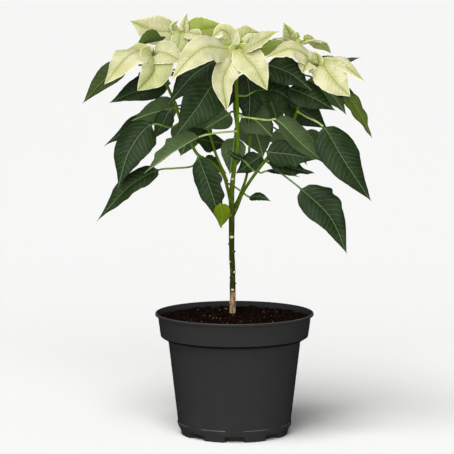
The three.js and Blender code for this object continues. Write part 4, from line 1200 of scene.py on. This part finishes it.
@dataclass
class PottingSoil:
    """Moist peat that fills the pot to a little under its lip, with loose crumbs and bark on top."""

    # Radius and height of the filling's outside, from the axis to a little under its edge.
    wall: tuple[Pair, ...] = ((0, 8.6), (58.0, 8.6), (69.2, 102.5), (77.2, 108.2), (79.3, 121.5))
    edge_radius: float = 79.8
    wall_height: float = 124.5
    crown: float = 130  # level round the stem
    hole_x: float = -2  # the stem stands a little off the pot's middle
    hole_radius: float = 4.1
    hole_floor: float = 102.5
    rings: int = 64
    steps: int = 220
    lumps: float = 1.1
    fall: float = 1.6  # how the mound curves down to the wall
    long_wave: Point = (0.19, 1.1, 0.23)  # turn along X, start, and turn along Y, in radians
    short_wave: Point = (0.6, 0.41, 0.37)  # height, and turn along X and Y
    clod_size: float = 7
    clod_height: float = 1.3
    grit_size: float = 1.7
    grit_height: float = 0.55
    litter: tuple[Litter, ...] = (
        Litter("peat_crumbs", Palette.CRUMB, 1500, (0.5, 2.0), (1, 0.85, 0.7)),
        Litter("bark_chips", Palette.CHIP, 120, (0.4, 1.5), (1.2, 0.5, 0.3)),
    )
    margin: float = 1  # no bit lies nearer than this to the wall or the stem
    proud: float = 0.25  # share of its radius that a bit's middle stands over the soil
    tilt: float = 0.6  # radians
    knock: float = 0.25  # how far a bit's corners are knocked in or out, as a share of its radius
    seed: int = 7

    CLOD_LAYER, GRIT_LAYER = 3, 9  # levels that the noise is read at
    ROUGHNESS, FINER, LAYERS = 1, 2, 4  # of the clods' fractal noise
    SLACK = 0.5  # millimetres within which a point belongs to a level

    def level(self, x: float, y: float) -> float:
        """Height of the uneven top, in millimetres."""
        mound = mix(self.crown, self.wall_height, (math.hypot(x, y) / self.edge_radius) ** self.fall)
        long_x, start, long_y = self.long_wave
        rise, short_x, short_y = self.short_wave
        waves = math.sin(long_x * x + start) * math.cos(long_y * y)
        waves += rise * math.sin(short_x * x - short_y * y)
        return mound + self.lumps * waves

    def clod(self, x: float, y: float) -> float:
        """Height of the clods over that level, in millimetres."""
        place = Vector((x, y, self.CLOD_LAYER)) / self.clod_size
        coarse = noise.fractal(place, self.ROUGHNESS, self.FINER, self.LAYERS)
        fine = noise.noise(Vector((x, y, self.GRIT_LAYER)) / self.grit_size)
        return self.clod_height * coarse + self.grit_height * fine

    def shift(self, radius: float) -> float:
        """How far the top moves sideways at a radius, so that its hole lies round the stem."""
        return self.hole_x * (1 - radius / self.edge_radius)

    def body(self) -> Shape:
        """Makes the peat itself: the pot's filling with a rough top and a hole for the stem."""
        top = [
            (mix(self.edge_radius, self.hole_radius, i / self.rings), self.wall_height + 1)
            for i in range(self.rings + 1)
        ]
        hole = [(self.hole_radius, self.hole_floor), (0, self.hole_floor)]
        bm = turn_profile([*self.wall, *top, *hole], self.steps)
        for vert in bm.verts:
            x, y, z = vert.co / MM
            radius = math.hypot(x, y)
            on_top = z > self.wall_height + self.SLACK
            in_hole = z > self.hole_floor - self.SLACK and radius < self.hole_radius + self.SLACK
            if on_top:
                vert.co.z = (self.level(x, y) + self.clod(x, y)) * MM
            if on_top or in_hole:
                vert.co.x += self.shift(radius) * MM
        return bm

    def scatter(self, litter: Litter, chance: random.Random) -> Shape:
        """Scatters loose bits over the soil.

        Args:
            litter: What lies there.
            chance: The seeded draw.

        Returns:
            All the bits in one bmesh.
        """
        bm = bmesh.new()
        near, far = self.hole_radius + self.margin, self.edge_radius - self.margin
        for _ in range(litter.count):
            radius = mix(near, far, math.sqrt(chance.random()))
            turn = chance.uniform(0, math.tau)
            x, y = radius * math.cos(turn), radius * math.sin(turn)
            size = mix(*litter.sizes, chance.random() ** 2)
            height = self.level(x, y) + self.clod(x, y) + size * self.proud
            tips = [chance.uniform(-self.tilt, self.tilt) for _ in range(2)]
            turned = Euler((*tips, chance.uniform(0, math.tau)))
            middle = Vector((x + self.shift(radius), y, height)) * MM
            radii = Vector(litter.flat) * size * MM
            for vert in add_ball(bm, middle, radii, fineness=1, turned=turned):
                knocks = [chance.uniform(-self.knock, self.knock) for _ in range(3)]
                vert.co += Vector([knock * size * MM for knock in knocks])
        return bm

    def build(self) -> None:
        """Makes the peat and what lies on it."""
        chance = random.Random(self.seed)
        place_piece(self.body(), "potting_soil", coats(Palette.PEAT), ["soil"])
        for litter in self.litter:
            place_piece(self.scatter(litter, chance), litter.name, coats(litter.finish))


# ------------------------------------------------------------------------------ stem


@dataclass
class GrownStem:
    """The bare main stem and the branches that carry the flower heads, grown as one piece."""

    branches: tuple[Branch, ...] = BRANCHES
    scars: tuple[Scar, ...] = SCARS
    sides: int = 18
    step: float = 2.2  # length of one ring's stretch in millimetres
    bumps: float = 130  # swellings per metre,
    bump_length: float = 0.6  # fewer by this factor up and down
    bump_turn: float = 1.5  # how much they change round the stem
    bump_heights: Pair = (0.13, 0.06)  # shares of the radius, on the bark and above it
    bark_end: Pair = (160, 260)  # heights in millimetres between which one turns into the other
    knob_sunk: float = 0.35  # share of its radius that a scar's knob is sunk
    knob_height: float = 0.7  # and its half height as such a share
    marks: int = 400  # a stalk's place on its branch is one of so many
    spines: dict[str, Spine] = field(default_factory=dict)

    def __post_init__(self) -> None:
        """Lays the curve of each branch."""
        self.spines = {branch.name: Spine(metres(branch.points)) for branch in self.branches}

    def radius(self, branch: Branch, share: float) -> float:
        """Radius of a branch, in metres, at a share of its length."""
        place = self.spines[branch.name].parameter(share) * (len(branch.radii) - 1)
        index = min(int(place), len(branch.radii) - 2)
        return mix(branch.radii[index], branch.radii[index + 1], place - index) * MM

    def plan(self, name: str) -> Branch:
        """Finds a branch by name."""
        return next(branch for branch in self.branches if branch.name == name)

    def seat(self, name: str, goal: Vector, sunk: float) -> tuple[Vector, Vector]:
        """Finds where a stalk meets its branch.

        Args:
            name: The branch.
            goal: The stalk's first point away from it.
            sunk: How far inside the branch's skin the stalk starts, in metres.

        Returns:
            The start of the stalk, and the way out from the branch.
        """
        branch, spine = self.plan(name), self.spines[name]
        shares = [i / self.marks for i in range(self.marks + 1)]
        share = min(shares, key=lambda s: (spine.point(s) - goal).length)
        centre = spine.point(share)
        outward = (goal - centre).normalized()
        return centre + outward * (self.radius(branch, share) - sunk), outward

    def limb(self, branch: Branch) -> Shape:
        """Makes one branch as a closed tube with slight swellings."""
        spine = self.spines[branch.name]
        steps = round(spine.length / (self.step * MM))
        bm = unit_tube(self.sides, steps)
        frames = []
        right = Vector((1, 0, 0))
        for i in range(steps + 1):
            share = i / steps
            along = spine.tangent(share)
            right = (right - along * right.dot(along)).normalized()
            frames.append((spine.point(share), right, along.cross(right), self.radius(branch, share)))
        low, high = (height * MM for height in self.bark_end)
        for vert in bm.verts:
            centre, right, over, radius = frames[round(vert.co.z * steps)]
            around = right * vert.co.x + over * vert.co.y
            place = Vector((centre.x, centre.y, centre.z * self.bump_length)) * self.bumps
            swelling = noise.noise(place + around * self.bump_turn)
            swelling *= mix(*self.bump_heights, smooth_step(low, high, centre.z))
            vert.co = centre + around * radius * (1 + swelling)
        return bm

    def knob(self, scar: Scar) -> Shape:
        """Makes the bump of one leaf scar, sunk into its branch."""
        spine = self.spines[scar.branch]
        share = spine.lengths[round(spine.MARKS * scar.share)] / spine.length
        angle = math.radians(scar.turn)
        outward = Vector((math.cos(angle), math.sin(angle), 0))
        size = scar.size * MM
        out = self.radius(self.plan(scar.branch), share) - size * self.knob_sunk
        radii = Vector((size, size, size * self.knob_height))
        bm = bmesh.new()
        add_ball(bm, spine.point(share) + outward * out, radii, fineness=3, slot=int(scar.pale))
        return bm

    def build(self) -> None:
        """Makes the stem with its branches and scars."""
        whole = bmesh.new()
        for branch in self.branches:
            pour(whole, self.limb(branch))
        for scar in self.scars:
            pour(whole, self.knob(scar))
        bmesh.ops.recalc_face_normals(whole, faces=whole.faces)
        place_piece(whole, "grown_stem", coats(Palette.STEM, Palette.SCAR), ["stem"])


# ------------------------------------------------------------------------------ blades


@dataclass(frozen=True)
class Growth:
    """How one kind of blade grows. Lengths are millimetres, the rest are shares unless it says so."""

    rise: float  # how the outline swells from the base
    fall: float  # how it tapers to the tip
    thickness: float
    stalk: float  # radius of the stalk
    rib: float  # how far the midrib stands out under the blade
    spacing: float  # between side veins
    lean: float  # how steeply side veins climb
    quilt: float  # how far the tissue rises between them
    arch: float  # how far each half arches, as a share of its width
    frill: float  # unevenness of the edge, as a share of the half width
    ruffle: float  # height of the edge's small ruffles
    crumple: float  # height of the broad dents in the blade
    sides: int = 40
    steps: int = 60
    stalk_step: float = 2.5  # length of one ring's stretch on the stalk
    swell: float = 0.5  # how much thicker a stalk is at its foot
    swell_fade: float = 60  # how soon that passes
    tooth_rise: float = 0.15
    tooth_fall: float = 0.05
    phases: Pair = (2.6, 0.9)  # where the waves of the left and the right edge start, in radians
    wave_fade: float = 0.6  # how the waves die out at the base and the tip
    frill_turns: float = 12  # how often the edge's unevenness changes along a blade
    ruffle_turns: float = 16
    ruffle_gain: float = 1.6  # as the noise seldom reaches 1
    tip: float = 0.12  # half width of the tip
    vein_curve: float = 0.012  # how much more steeply side veins climb near the edge
    vein_shift: float = 0.4  # how far the right half's veins lie off the left's, in spacings
    quilt_rise: float = 4  # how soon the quilting rises from the midrib
    quilt_fall: float = 2.5  # and falls to the edge
    groove: float = 0.3  # depth of the groove over the midrib
    groove_width: float = 0.9
    rib_width: float = 1.1
    dents: float = 75  # broad dents per metre
    dent_rise: float = 3  # how soon they start from the midrib
    edge_power: int = 6  # how squarely the blade ends at its edge
    merge: float = 0.045  # share of the blade over which the round stalk turns flat


LEAF = Growth(
    rise=0.6, fall=1.35, thickness=0.5, stalk=1.0, rib=0.9, spacing=6.2, lean=0.62, quilt=0.5,
    arch=0.06, frill=0.05, ruffle=0.5, crumple=0.9,
)
BRACT = Growth(
    rise=0.85, fall=1.15, thickness=0.45, stalk=0.95, rib=0.5, spacing=5.0, lean=0.8, quilt=1.0,
    arch=0.05, frill=0.08, ruffle=0.9, crumple=1.8,
)


@dataclass
class Lamella:
    """One leaf or bract: a closed skin that is swept along its stalk and midrib."""

    stalk: Sequence[Vector]
    midrib: Sequence[Vector]
    blade: Blade
    growth: Growth

    STALK_MARKS = (0.5, 9, 9)  # between two veins, and far from the midrib and the edge
    BELOW = 1.001  # a stalk's ring has a share t under 0
    LAST = 0.9999  # the last ring stays just short of the curve's end
    # What sets one blade's unevenness apart from another's.
    FRILL_SEEDS = (911, 577, 5)
    RUFFLE_SEEDS = (700, 3)
    DENT_SEED = 3

    def outline(self, t: float) -> float:
        """Share of the full half width at t, from the blade's base to its tip."""
        rise, fall = self.growth.rise, self.growth.fall
        widest = rise / (rise + fall)
        return (t / widest) ** rise * ((1 - t) / (1 - widest)) ** fall

    def lobes(self, t: float, side: Side) -> float:
        """How much the teeth of one side widen the blade at t."""
        extra = 0.0
        for tooth in self.blade.teeth:
            away = t - tooth.place
            slope = 1 + away / self.growth.tooth_rise if away < 0 else 1 - away / self.growth.tooth_fall
            if tooth.side is side:
                extra += tooth.size * smooth_step(0, 1, slope)
        return extra * math.sqrt(math.sin(math.pi * t))

    def half(self, t: float, side: Side) -> float:
        """Width of one half at t, in metres."""
        first, last, each = self.FRILL_SEEDS
        seed = self.midrib[0].x * first + self.midrib[-1].z * last + side.value * each
        ragged = 1 + self.growth.frill * noise.noise(Vector((t * self.growth.frill_turns, seed, 0)))
        full = self.blade.width / 2 * (self.outline(t) + self.lobes(t, side)) * ragged
        return max(full, self.growth.tip) * MM

    def wave(self, t: float, side: Side) -> float:
        """Height of one edge's wave at t, in metres."""
        phase = self.growth.phases[0 if side is LEFT else 1]
        swing = math.sin(math.tau * self.blade.ripples * t + phase)
        first, each = self.RUFFLE_SEEDS
        place = Vector((t * self.growth.ruffle_turns, self.midrib[0].x * first, side.value * each))
        ruffle = self.growth.ruffle * self.growth.ruffle_gain * noise.noise(place)
        return (self.blade.wave * swing + ruffle) * MM * math.sin(math.pi * t) ** self.growth.wave_fade

    def stations(self, spine: Spine) -> list[tuple[float, float]]:
        """Lists the rings.

        Args:
            spine: The curve along the stalk and the midrib.

        Returns:
            Each ring's share of the whole curve, and its share t of the blade, below 0 on the stalk.
        """
        base = spine.share_of_point(len(self.stalk)) if self.stalk else 0.0
        stalk_steps = round(base * spine.length / (self.growth.stalk_step * MM))
        rings = [(base * i / stalk_steps, i / stalk_steps - self.BELOW) for i in range(stalk_steps)]
        for i in range(self.growth.steps + 1):
            t = (1 - math.cos(math.pi * i / self.growth.steps)) / 2
            rings.append((min(mix(base, 1, t), self.LAST), t))
        return rings

    def frames(self, spine: Spine, rings: list[tuple[float, float]]) -> list[tuple[Vector, ...]]:
        """Gives each ring its centre, its way to the right and its way up."""
        facing = Vector(self.blade.looks).normalized()
        found = []
        right = None
        for share, t in reversed(rings):
            along = spine.tangent(share)
            if t >= 0:
                right = along.cross(facing).normalized()
            else:
                right = (right - along * right.dot(along)).normalized()
            found.append((spine.point(share), right, right.cross(along)))
        return found[::-1]

    def build(self) -> Shape:
        """Makes the skin, with its vein places for the finishes.

        Returns:
            The closed skin, with the coats as material slots, a UV map named blade, and the values
            veins and fresh at each point.
        """
        spine = Spine([*self.stalk, *self.midrib])
        rings = self.stations(spine)
        frames = self.frames(spine, rings)
        steps = len(rings) - 1
        first_blade = next(i for i, (_, t) in enumerate(rings) if t >= 0)
        blade_length = spine.length * (rings[-1][0] - rings[first_blade][0])
        bm = unit_tube(self.growth.sides, steps)
        veins = bm.verts.layers.float_vector.new("veins")
        fresh = bm.verts.layers.float.new("fresh")
        chart = bm.loops.layers.uv.new("blade")
        for face in bm.faces:
            middle = face.calc_center_median()
            on_blade = Coat.UPPER if middle.y > 0 else Coat.UNDER
            face.material_index = (Coat.STALK if middle.z * steps < first_blade else on_blade).value
        spots = {}
        for vert in bm.verts:
            ring = round(vert.co.z * steps)
            turn = math.atan2(vert.co.y, vert.co.x)
            share, t = rings[ring]
            centre, right, over = frames[ring]
            across, lift, marks = self.section(turn, t, share, blade_length)
            vert.co = centre + right * across + over * lift
            vert[veins] = marks
            vert[fresh] = self.blade.fresh
            spots[vert.index] = ((1 - abs(turn) * 2 / math.pi) / 2 + 0.5, max(t, 0))
        for face in bm.faces:
            for loop in face.loops:
                loop[chart].uv = spots[loop.vert.index]
        bmesh.ops.recalc_face_normals(bm, faces=bm.faces)
        return bm

    def section(self, turn: float, t: float, share: float, length: float) -> tuple[float, float, Point]:
        """Places one point of a ring.

        Args:
            turn: Its turn round the ring: 0 at the right edge, half a turn at the left one, and
                positive on the upper face.
            t: The ring's share of the blade, below 0 on the stalk.
            share: The ring's share of the whole curve.
            length: The blade's length in metres.

        Returns:
            How far it lies to the right and up, in metres, and its vein count, its distance from the
            midrib and its distance from the edge, the last two in millimetres.
        """
        grown = self.growth
        radius = grown.stalk * MM
        if self.stalk:
            radius *= 1 + grown.swell * math.exp(-share * grown.swell_fade)
        round_across, round_lift = radius * math.cos(turn), radius * math.sin(turn)
        if t < 0:
            return round_across, round_lift, self.STALK_MARKS
        cross = 1 - abs(turn) * 2 / math.pi
        side = RIGHT if cross > 0 else LEFT
        s = abs(cross)
        half = self.half(t, side)
        reach = half * s
        tilt = math.radians(self.blade.fold)
        climb = grown.lean * reach / MM
        count = (t * length / MM - climb - grown.vein_curve * (reach / MM) ** 2) / grown.spacing
        count += grown.vein_shift if side is RIGHT else 0
        middle = math.sin(math.pi * t) ** 0.5
        window = min(1, grown.quilt_rise * s) * min(1, grown.quilt_fall * (1 - s)) * middle
        quilt = grown.quilt * MM * math.sin(math.pi * count) ** 2 * window
        arch = grown.arch * half * 4 * s * (1 - s)
        place = Vector((t * length, side.value * reach, self.midrib[0].x * self.DENT_SEED))
        dent = noise.noise(place * grown.dents)
        crumple = grown.crumple * MM * dent * min(1, grown.dent_rise * s) * middle
        sheet = reach * math.sin(tilt) + self.wave(t, side) * s * s + arch + quilt + crumple
        skin = grown.thickness * MM / 2 * math.sqrt(max(0, 1 - s**grown.edge_power))
        if turn > 0:
            groove = grown.groove * MM * math.exp(-((reach / MM / grown.groove_width) ** 2)) * middle
            lift = sheet + skin - groove
        else:
            ridge = grown.rib * MM * (1 - t) * math.exp(-((reach / MM / grown.rib_width) ** 2))
            lift = sheet - skin - ridge * min(1, half / MM / 2)
        flat = smooth_step(0, grown.merge, t)
        across = mix(round_across, side.value * reach * math.cos(tilt), flat)
        return across, mix(round_lift, lift, flat), (count, reach / MM, (half - reach) / MM)


@dataclass
class Foliage:
    """All the leaves of the plant, each with its own stalk."""

    stem: GrownStem
    leaves: tuple[Leaf, ...] = LEAVES
    sunk: float = 0.6  # how far a stalk's foot lies inside its branch, in millimetres
    straight: float = 2.6  # it leaves the branch straight for this far
    pale: tuple[str, ...] = ("leaf_left_folded", "leaf_right_pale", "leaf_right")  # whose stalks are

    def build(self) -> None:
        """Makes every leaf."""
        green = coats(Palette.LEAF_UPPER, Palette.LEAF_UNDER, Palette.LEAF_STALK)
        pale_stalk, young = coats(Palette.PALE_STALK, Palette.YOUNG_UPPER)
        for leaf in self.leaves:
            stalk = metres(leaf.stalk)
            foot, outward = self.stem.seat(leaf.branch, stalk[0], self.sunk * MM)
            whole_stalk = [foot, foot + outward * self.straight * MM, *stalk]
            bm = Lamella(whole_stalk, metres(leaf.blade.midrib), leaf.blade, LEAF).build()
            is_young = leaf.node == "leaf_young"
            finishes = [young, young, green[Coat.STALK.value]] if is_young else [*green]
            if leaf.node in self.pale:
                finishes[Coat.STALK.value] = pale_stalk
            name = leaf.node.replace("leaf", "foliage")
            place_piece(bm, name, finishes, [leaf.node], crease=70)


# ------------------------------------------------------------------------------ flower heads


@dataclass(frozen=True)
class Cyathium:
    """A true flower: an urn with a nectar gland at its lip and a tuft of anthers.

    Lengths are millimetres. waist gives the urn's girth, its belly, how fast that turns with height, its
    neck and where the neck starts, all as shares.
    """

    radius: float = 1.8
    half_height: float = 2.8
    sunk: float = 1.26
    sides: int = 14
    rings: int = 10
    waist: tuple[float, ...] = (0.82, 0.22, 2.2, 0.2, 0.55)
    gland: Point = (0.55, 0.95, 0.5)
    gland_out: float = 0.95  # share of the urn's radius
    gland_up: float = 0.55  # share of its half height
    anther: Point = (0.42, 0.42, 0.34)
    anthers: int = 5
    anther_turn: float = 0.4  # how far an anther strays from its even place, in radians
    anther_reach: Pair = (0.3, 0.9)
    anther_rise: float = 0.7

    def build(self, foot: Vector, lean: Vector, chance: random.Random) -> Shape:
        """Makes the flower round a middle, with its gland towards one side.

        Args:
            foot: The urn's middle, in metres.
            lean: The way from it to its gland, of length 1.
            chance: The seeded draw.

        Returns:
            Urn, gland and anthers in one bmesh, in material slots 0, 1 and 2.
        """
        bm = bmesh.new()
        bmesh.ops.create_uvsphere(bm, u_segments=self.sides, v_segments=self.rings, radius=1)
        girth, belly, belly_turn, neck, neck_start = self.waist
        size = Vector((self.radius, self.radius, self.half_height)) * MM
        for vert in bm.verts:
            x, y, height = vert.co
            waist = girth + belly * math.sin(height * belly_turn)
            waist -= neck * smooth_step(neck_start, 1, height)
            vert.co = Vector((x * waist * size.x, y * waist * size.y, height * size.z))
        spot = lean * self.radius * self.gland_out * MM + UP * self.half_height * self.gland_up * MM
        turned = UP.rotation_difference(lean).to_euler()
        add_ball(bm, spot, Vector(self.gland) * MM, fineness=2, slot=1, turned=turned)
        for i in range(self.anthers):
            turn = i * math.tau / self.anthers + chance.uniform(-self.anther_turn, self.anther_turn)
            reach = chance.uniform(*self.anther_reach)
            height = self.half_height + chance.uniform(0, self.anther_rise)
            spot = Vector((reach * math.cos(turn), reach * math.sin(turn), height)) * MM
            add_ball(bm, spot, Vector(self.anther) * MM, fineness=1, slot=2)
        bmesh.ops.translate(bm, verts=bm.verts, vec=foot)
        return bm


@dataclass
class FlowerHeads:
    """The rosettes of cream bracts, and the small true flowers in the middle of each."""

    heads: tuple[Head, ...] = HEADS
    cup: Cyathium = Cyathium()
    gap: float = 0.3
    hub_radius: float = 4
    hub_half: float = 4.4
    claw: float = 2.4  # a bract starts this far from the middle
    elbow: float = 9  # and rises only past its elbow
    elbow_rise: float = 1
    pad_half: float = 1.2
    spacing: float = 1.7
    unevenness: float = 0.5  # in the heights of the cyathia
    seed: int = 11

    def middle(self, head: Head) -> Vector:
        """Middle of a head's button, which sits on the end of its branch."""
        branch = next(b for b in BRANCHES if b.name == head.branch)
        return Vector(branch.points[-1]) * MM + UP * (self.hub_half + self.gap) * MM

    def bract(self, middle: Vector, blade: Blade) -> Shape:
        """Makes one bract, which starts at the button."""
        points = metres(blade.midrib)
        outward = points[0] - middle
        outward = Vector((outward.x, outward.y, 0)).normalized()
        claw = middle + outward * self.claw * MM
        elbow = middle + (outward * self.elbow + UP * self.elbow_rise) * MM
        bend = [elbow] if (points[0] - elbow).length > self.hub_radius * MM else []
        return Lamella([], [claw, *bend, *points], blade, BRACT).build()

    def rosette(self, head: Head) -> Shape:
        """Makes the bracts of one head and the button that they grow from."""
        middle = self.middle(head)
        whole = self.bract(middle, head.bracts[0])
        for blade in head.bracts[1:]:
            pour(whole, self.bract(middle, blade))
        hub = bmesh.new()
        size = Vector((self.hub_radius, self.hub_radius, self.hub_half)) * MM
        add_ball(hub, middle, size, fineness=3, slot=Coat.STALK.value)
        pour(whole, hub)
        return whole

    def cyathia(self, head: Head, chance: random.Random) -> Shape:
        """Makes the cluster of cyathia of one head on its pad."""
        foot = self.middle(head) + UP * (self.hub_half + self.gap + self.pad_half) * MM
        whole = bmesh.new()
        pad_radius = self.spacing * math.sqrt(head.cups - 1) + self.cup.radius / 2
        add_ball(whole, foot, Vector((pad_radius, pad_radius, self.pad_half)) * MM, fineness=3)
        golden_turn = math.pi * (3 - math.sqrt(5))
        for i in range(head.cups):
            reach = self.spacing * math.sqrt(i) * MM
            way = Vector((math.cos(i * golden_turn), math.sin(i * golden_turn), 0))
            stray = chance.uniform(-self.unevenness, self.unevenness)
            lift = (self.cup.half_height - self.cup.sunk + stray) * MM
            pour(whole, self.cup.build(foot + way * reach + UP * lift, way, chance))
        return whole

    def build(self) -> None:
        """Makes the bracts and cyathia of every head."""
        cream = coats(Palette.BRACT_UPPER, Palette.BRACT_UNDER, Palette.BRACT_CLAW)
        floret = coats(Palette.CUP, Palette.GLAND, Palette.ANTHER)
        chance = random.Random(self.seed)
        for head in self.heads:
            name = head.name
            rosette, cluster = self.rosette(head), self.cyathia(head, chance)
            place_piece(rosette, f"rosette_{name}", cream, [f"bracts_{name}"], crease=70)
            place_piece(cluster, f"florets_{name}", floret, [f"cyathia_{name}"])


# ------------------------------------------------------------------------------ studio


@dataclass(frozen=True)
class Softbox:
    """A broad soft light: its strength, and its spread, turn and height in degrees."""

    name: str
    strength: float
    spread: float
    turn: float
    height: float


@dataclass
class Studio:
    """A pale floor, soft light from above and in front, and a long lens a little above the pot."""

    camera_place: Point = (-8, -2540, 517)  # millimetres
    look_down: float = 6.6  # degrees
    lens: float = 189.5  # millimetres, on a 36 mm sensor
    sight: float = 200  # metres
    floor_size: float = 60  # metres
    floor_gap: float = 0.1  # between the floor and the pot's foot, in millimetres
    air: str = "#FFFFFF"
    air_strength: float = 0.04
    lights: tuple[Softbox, ...] = (
        Softbox("key_softbox", 2.3, 40, -30, 62),
        Softbox("front_softbox", 3.2, 60, 0, 16),
    )

    def camera(self) -> None:
        """Sets up the camera."""
        lens = bpy.data.cameras.new("long_lens")
        lens.lens = self.lens
        lens.clip_end = self.sight
        camera = bpy.data.objects.new("camera", lens)
        camera.location = Vector(self.camera_place) * MM
        camera.rotation_euler = (math.radians(90 - self.look_down), 0, 0)
        bpy.context.scene.collection.objects.link(camera)
        bpy.context.scene.camera = camera

    def floor(self) -> None:
        """Lays the floor."""
        bm = bmesh.new()
        bmesh.ops.create_grid(bm, x_segments=1, y_segments=1, size=self.floor_size / 2)
        mesh = bpy.data.meshes.new("floor")
        bm.to_mesh(mesh)
        bm.free()
        mesh.materials.append(Palette.FLOOR.value.make())
        floor = bpy.data.objects.new("floor", mesh)
        floor.location.z = -self.floor_gap * MM
        bpy.context.scene.collection.objects.link(floor)

    def light(self) -> None:
        """Lights the studio."""
        world = bpy.data.worlds.new("studio_air")
        world.use_nodes = True
        air = world.node_tree.nodes["Background"]
        air.inputs["Color"].default_value = linear(self.air)
        air.inputs["Strength"].default_value = self.air_strength
        bpy.context.scene.world = world
        for softbox in self.lights:
            light = bpy.data.lights.new(softbox.name, "SUN")
            light.energy = softbox.strength
            light.angle = math.radians(softbox.spread)
            lamp = bpy.data.objects.new(softbox.name, light)
            lamp.rotation_euler = (math.radians(90 - softbox.height), 0, math.radians(softbox.turn))
            bpy.context.scene.collection.objects.link(lamp)
        bpy.context.scene.view_settings.view_transform = "Standard"

    def build(self) -> None:
        """Sets up the camera, the floor and the light."""
        self.camera()
        self.floor()
        self.light()


def main() -> None:
    """Loads the frame, sets up the studio, and dresses the plant and its pot."""
    logging.basicConfig(level=logging.INFO, format="%(name)s: %(message)s")
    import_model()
    Studio().build()
    NurseryPot().build()
    PottingSoil().build()
    stem = GrownStem()
    stem.build()
    Foliage(stem).build()
    FlowerHeads().build()


if __name__ == "__main__":
    main()
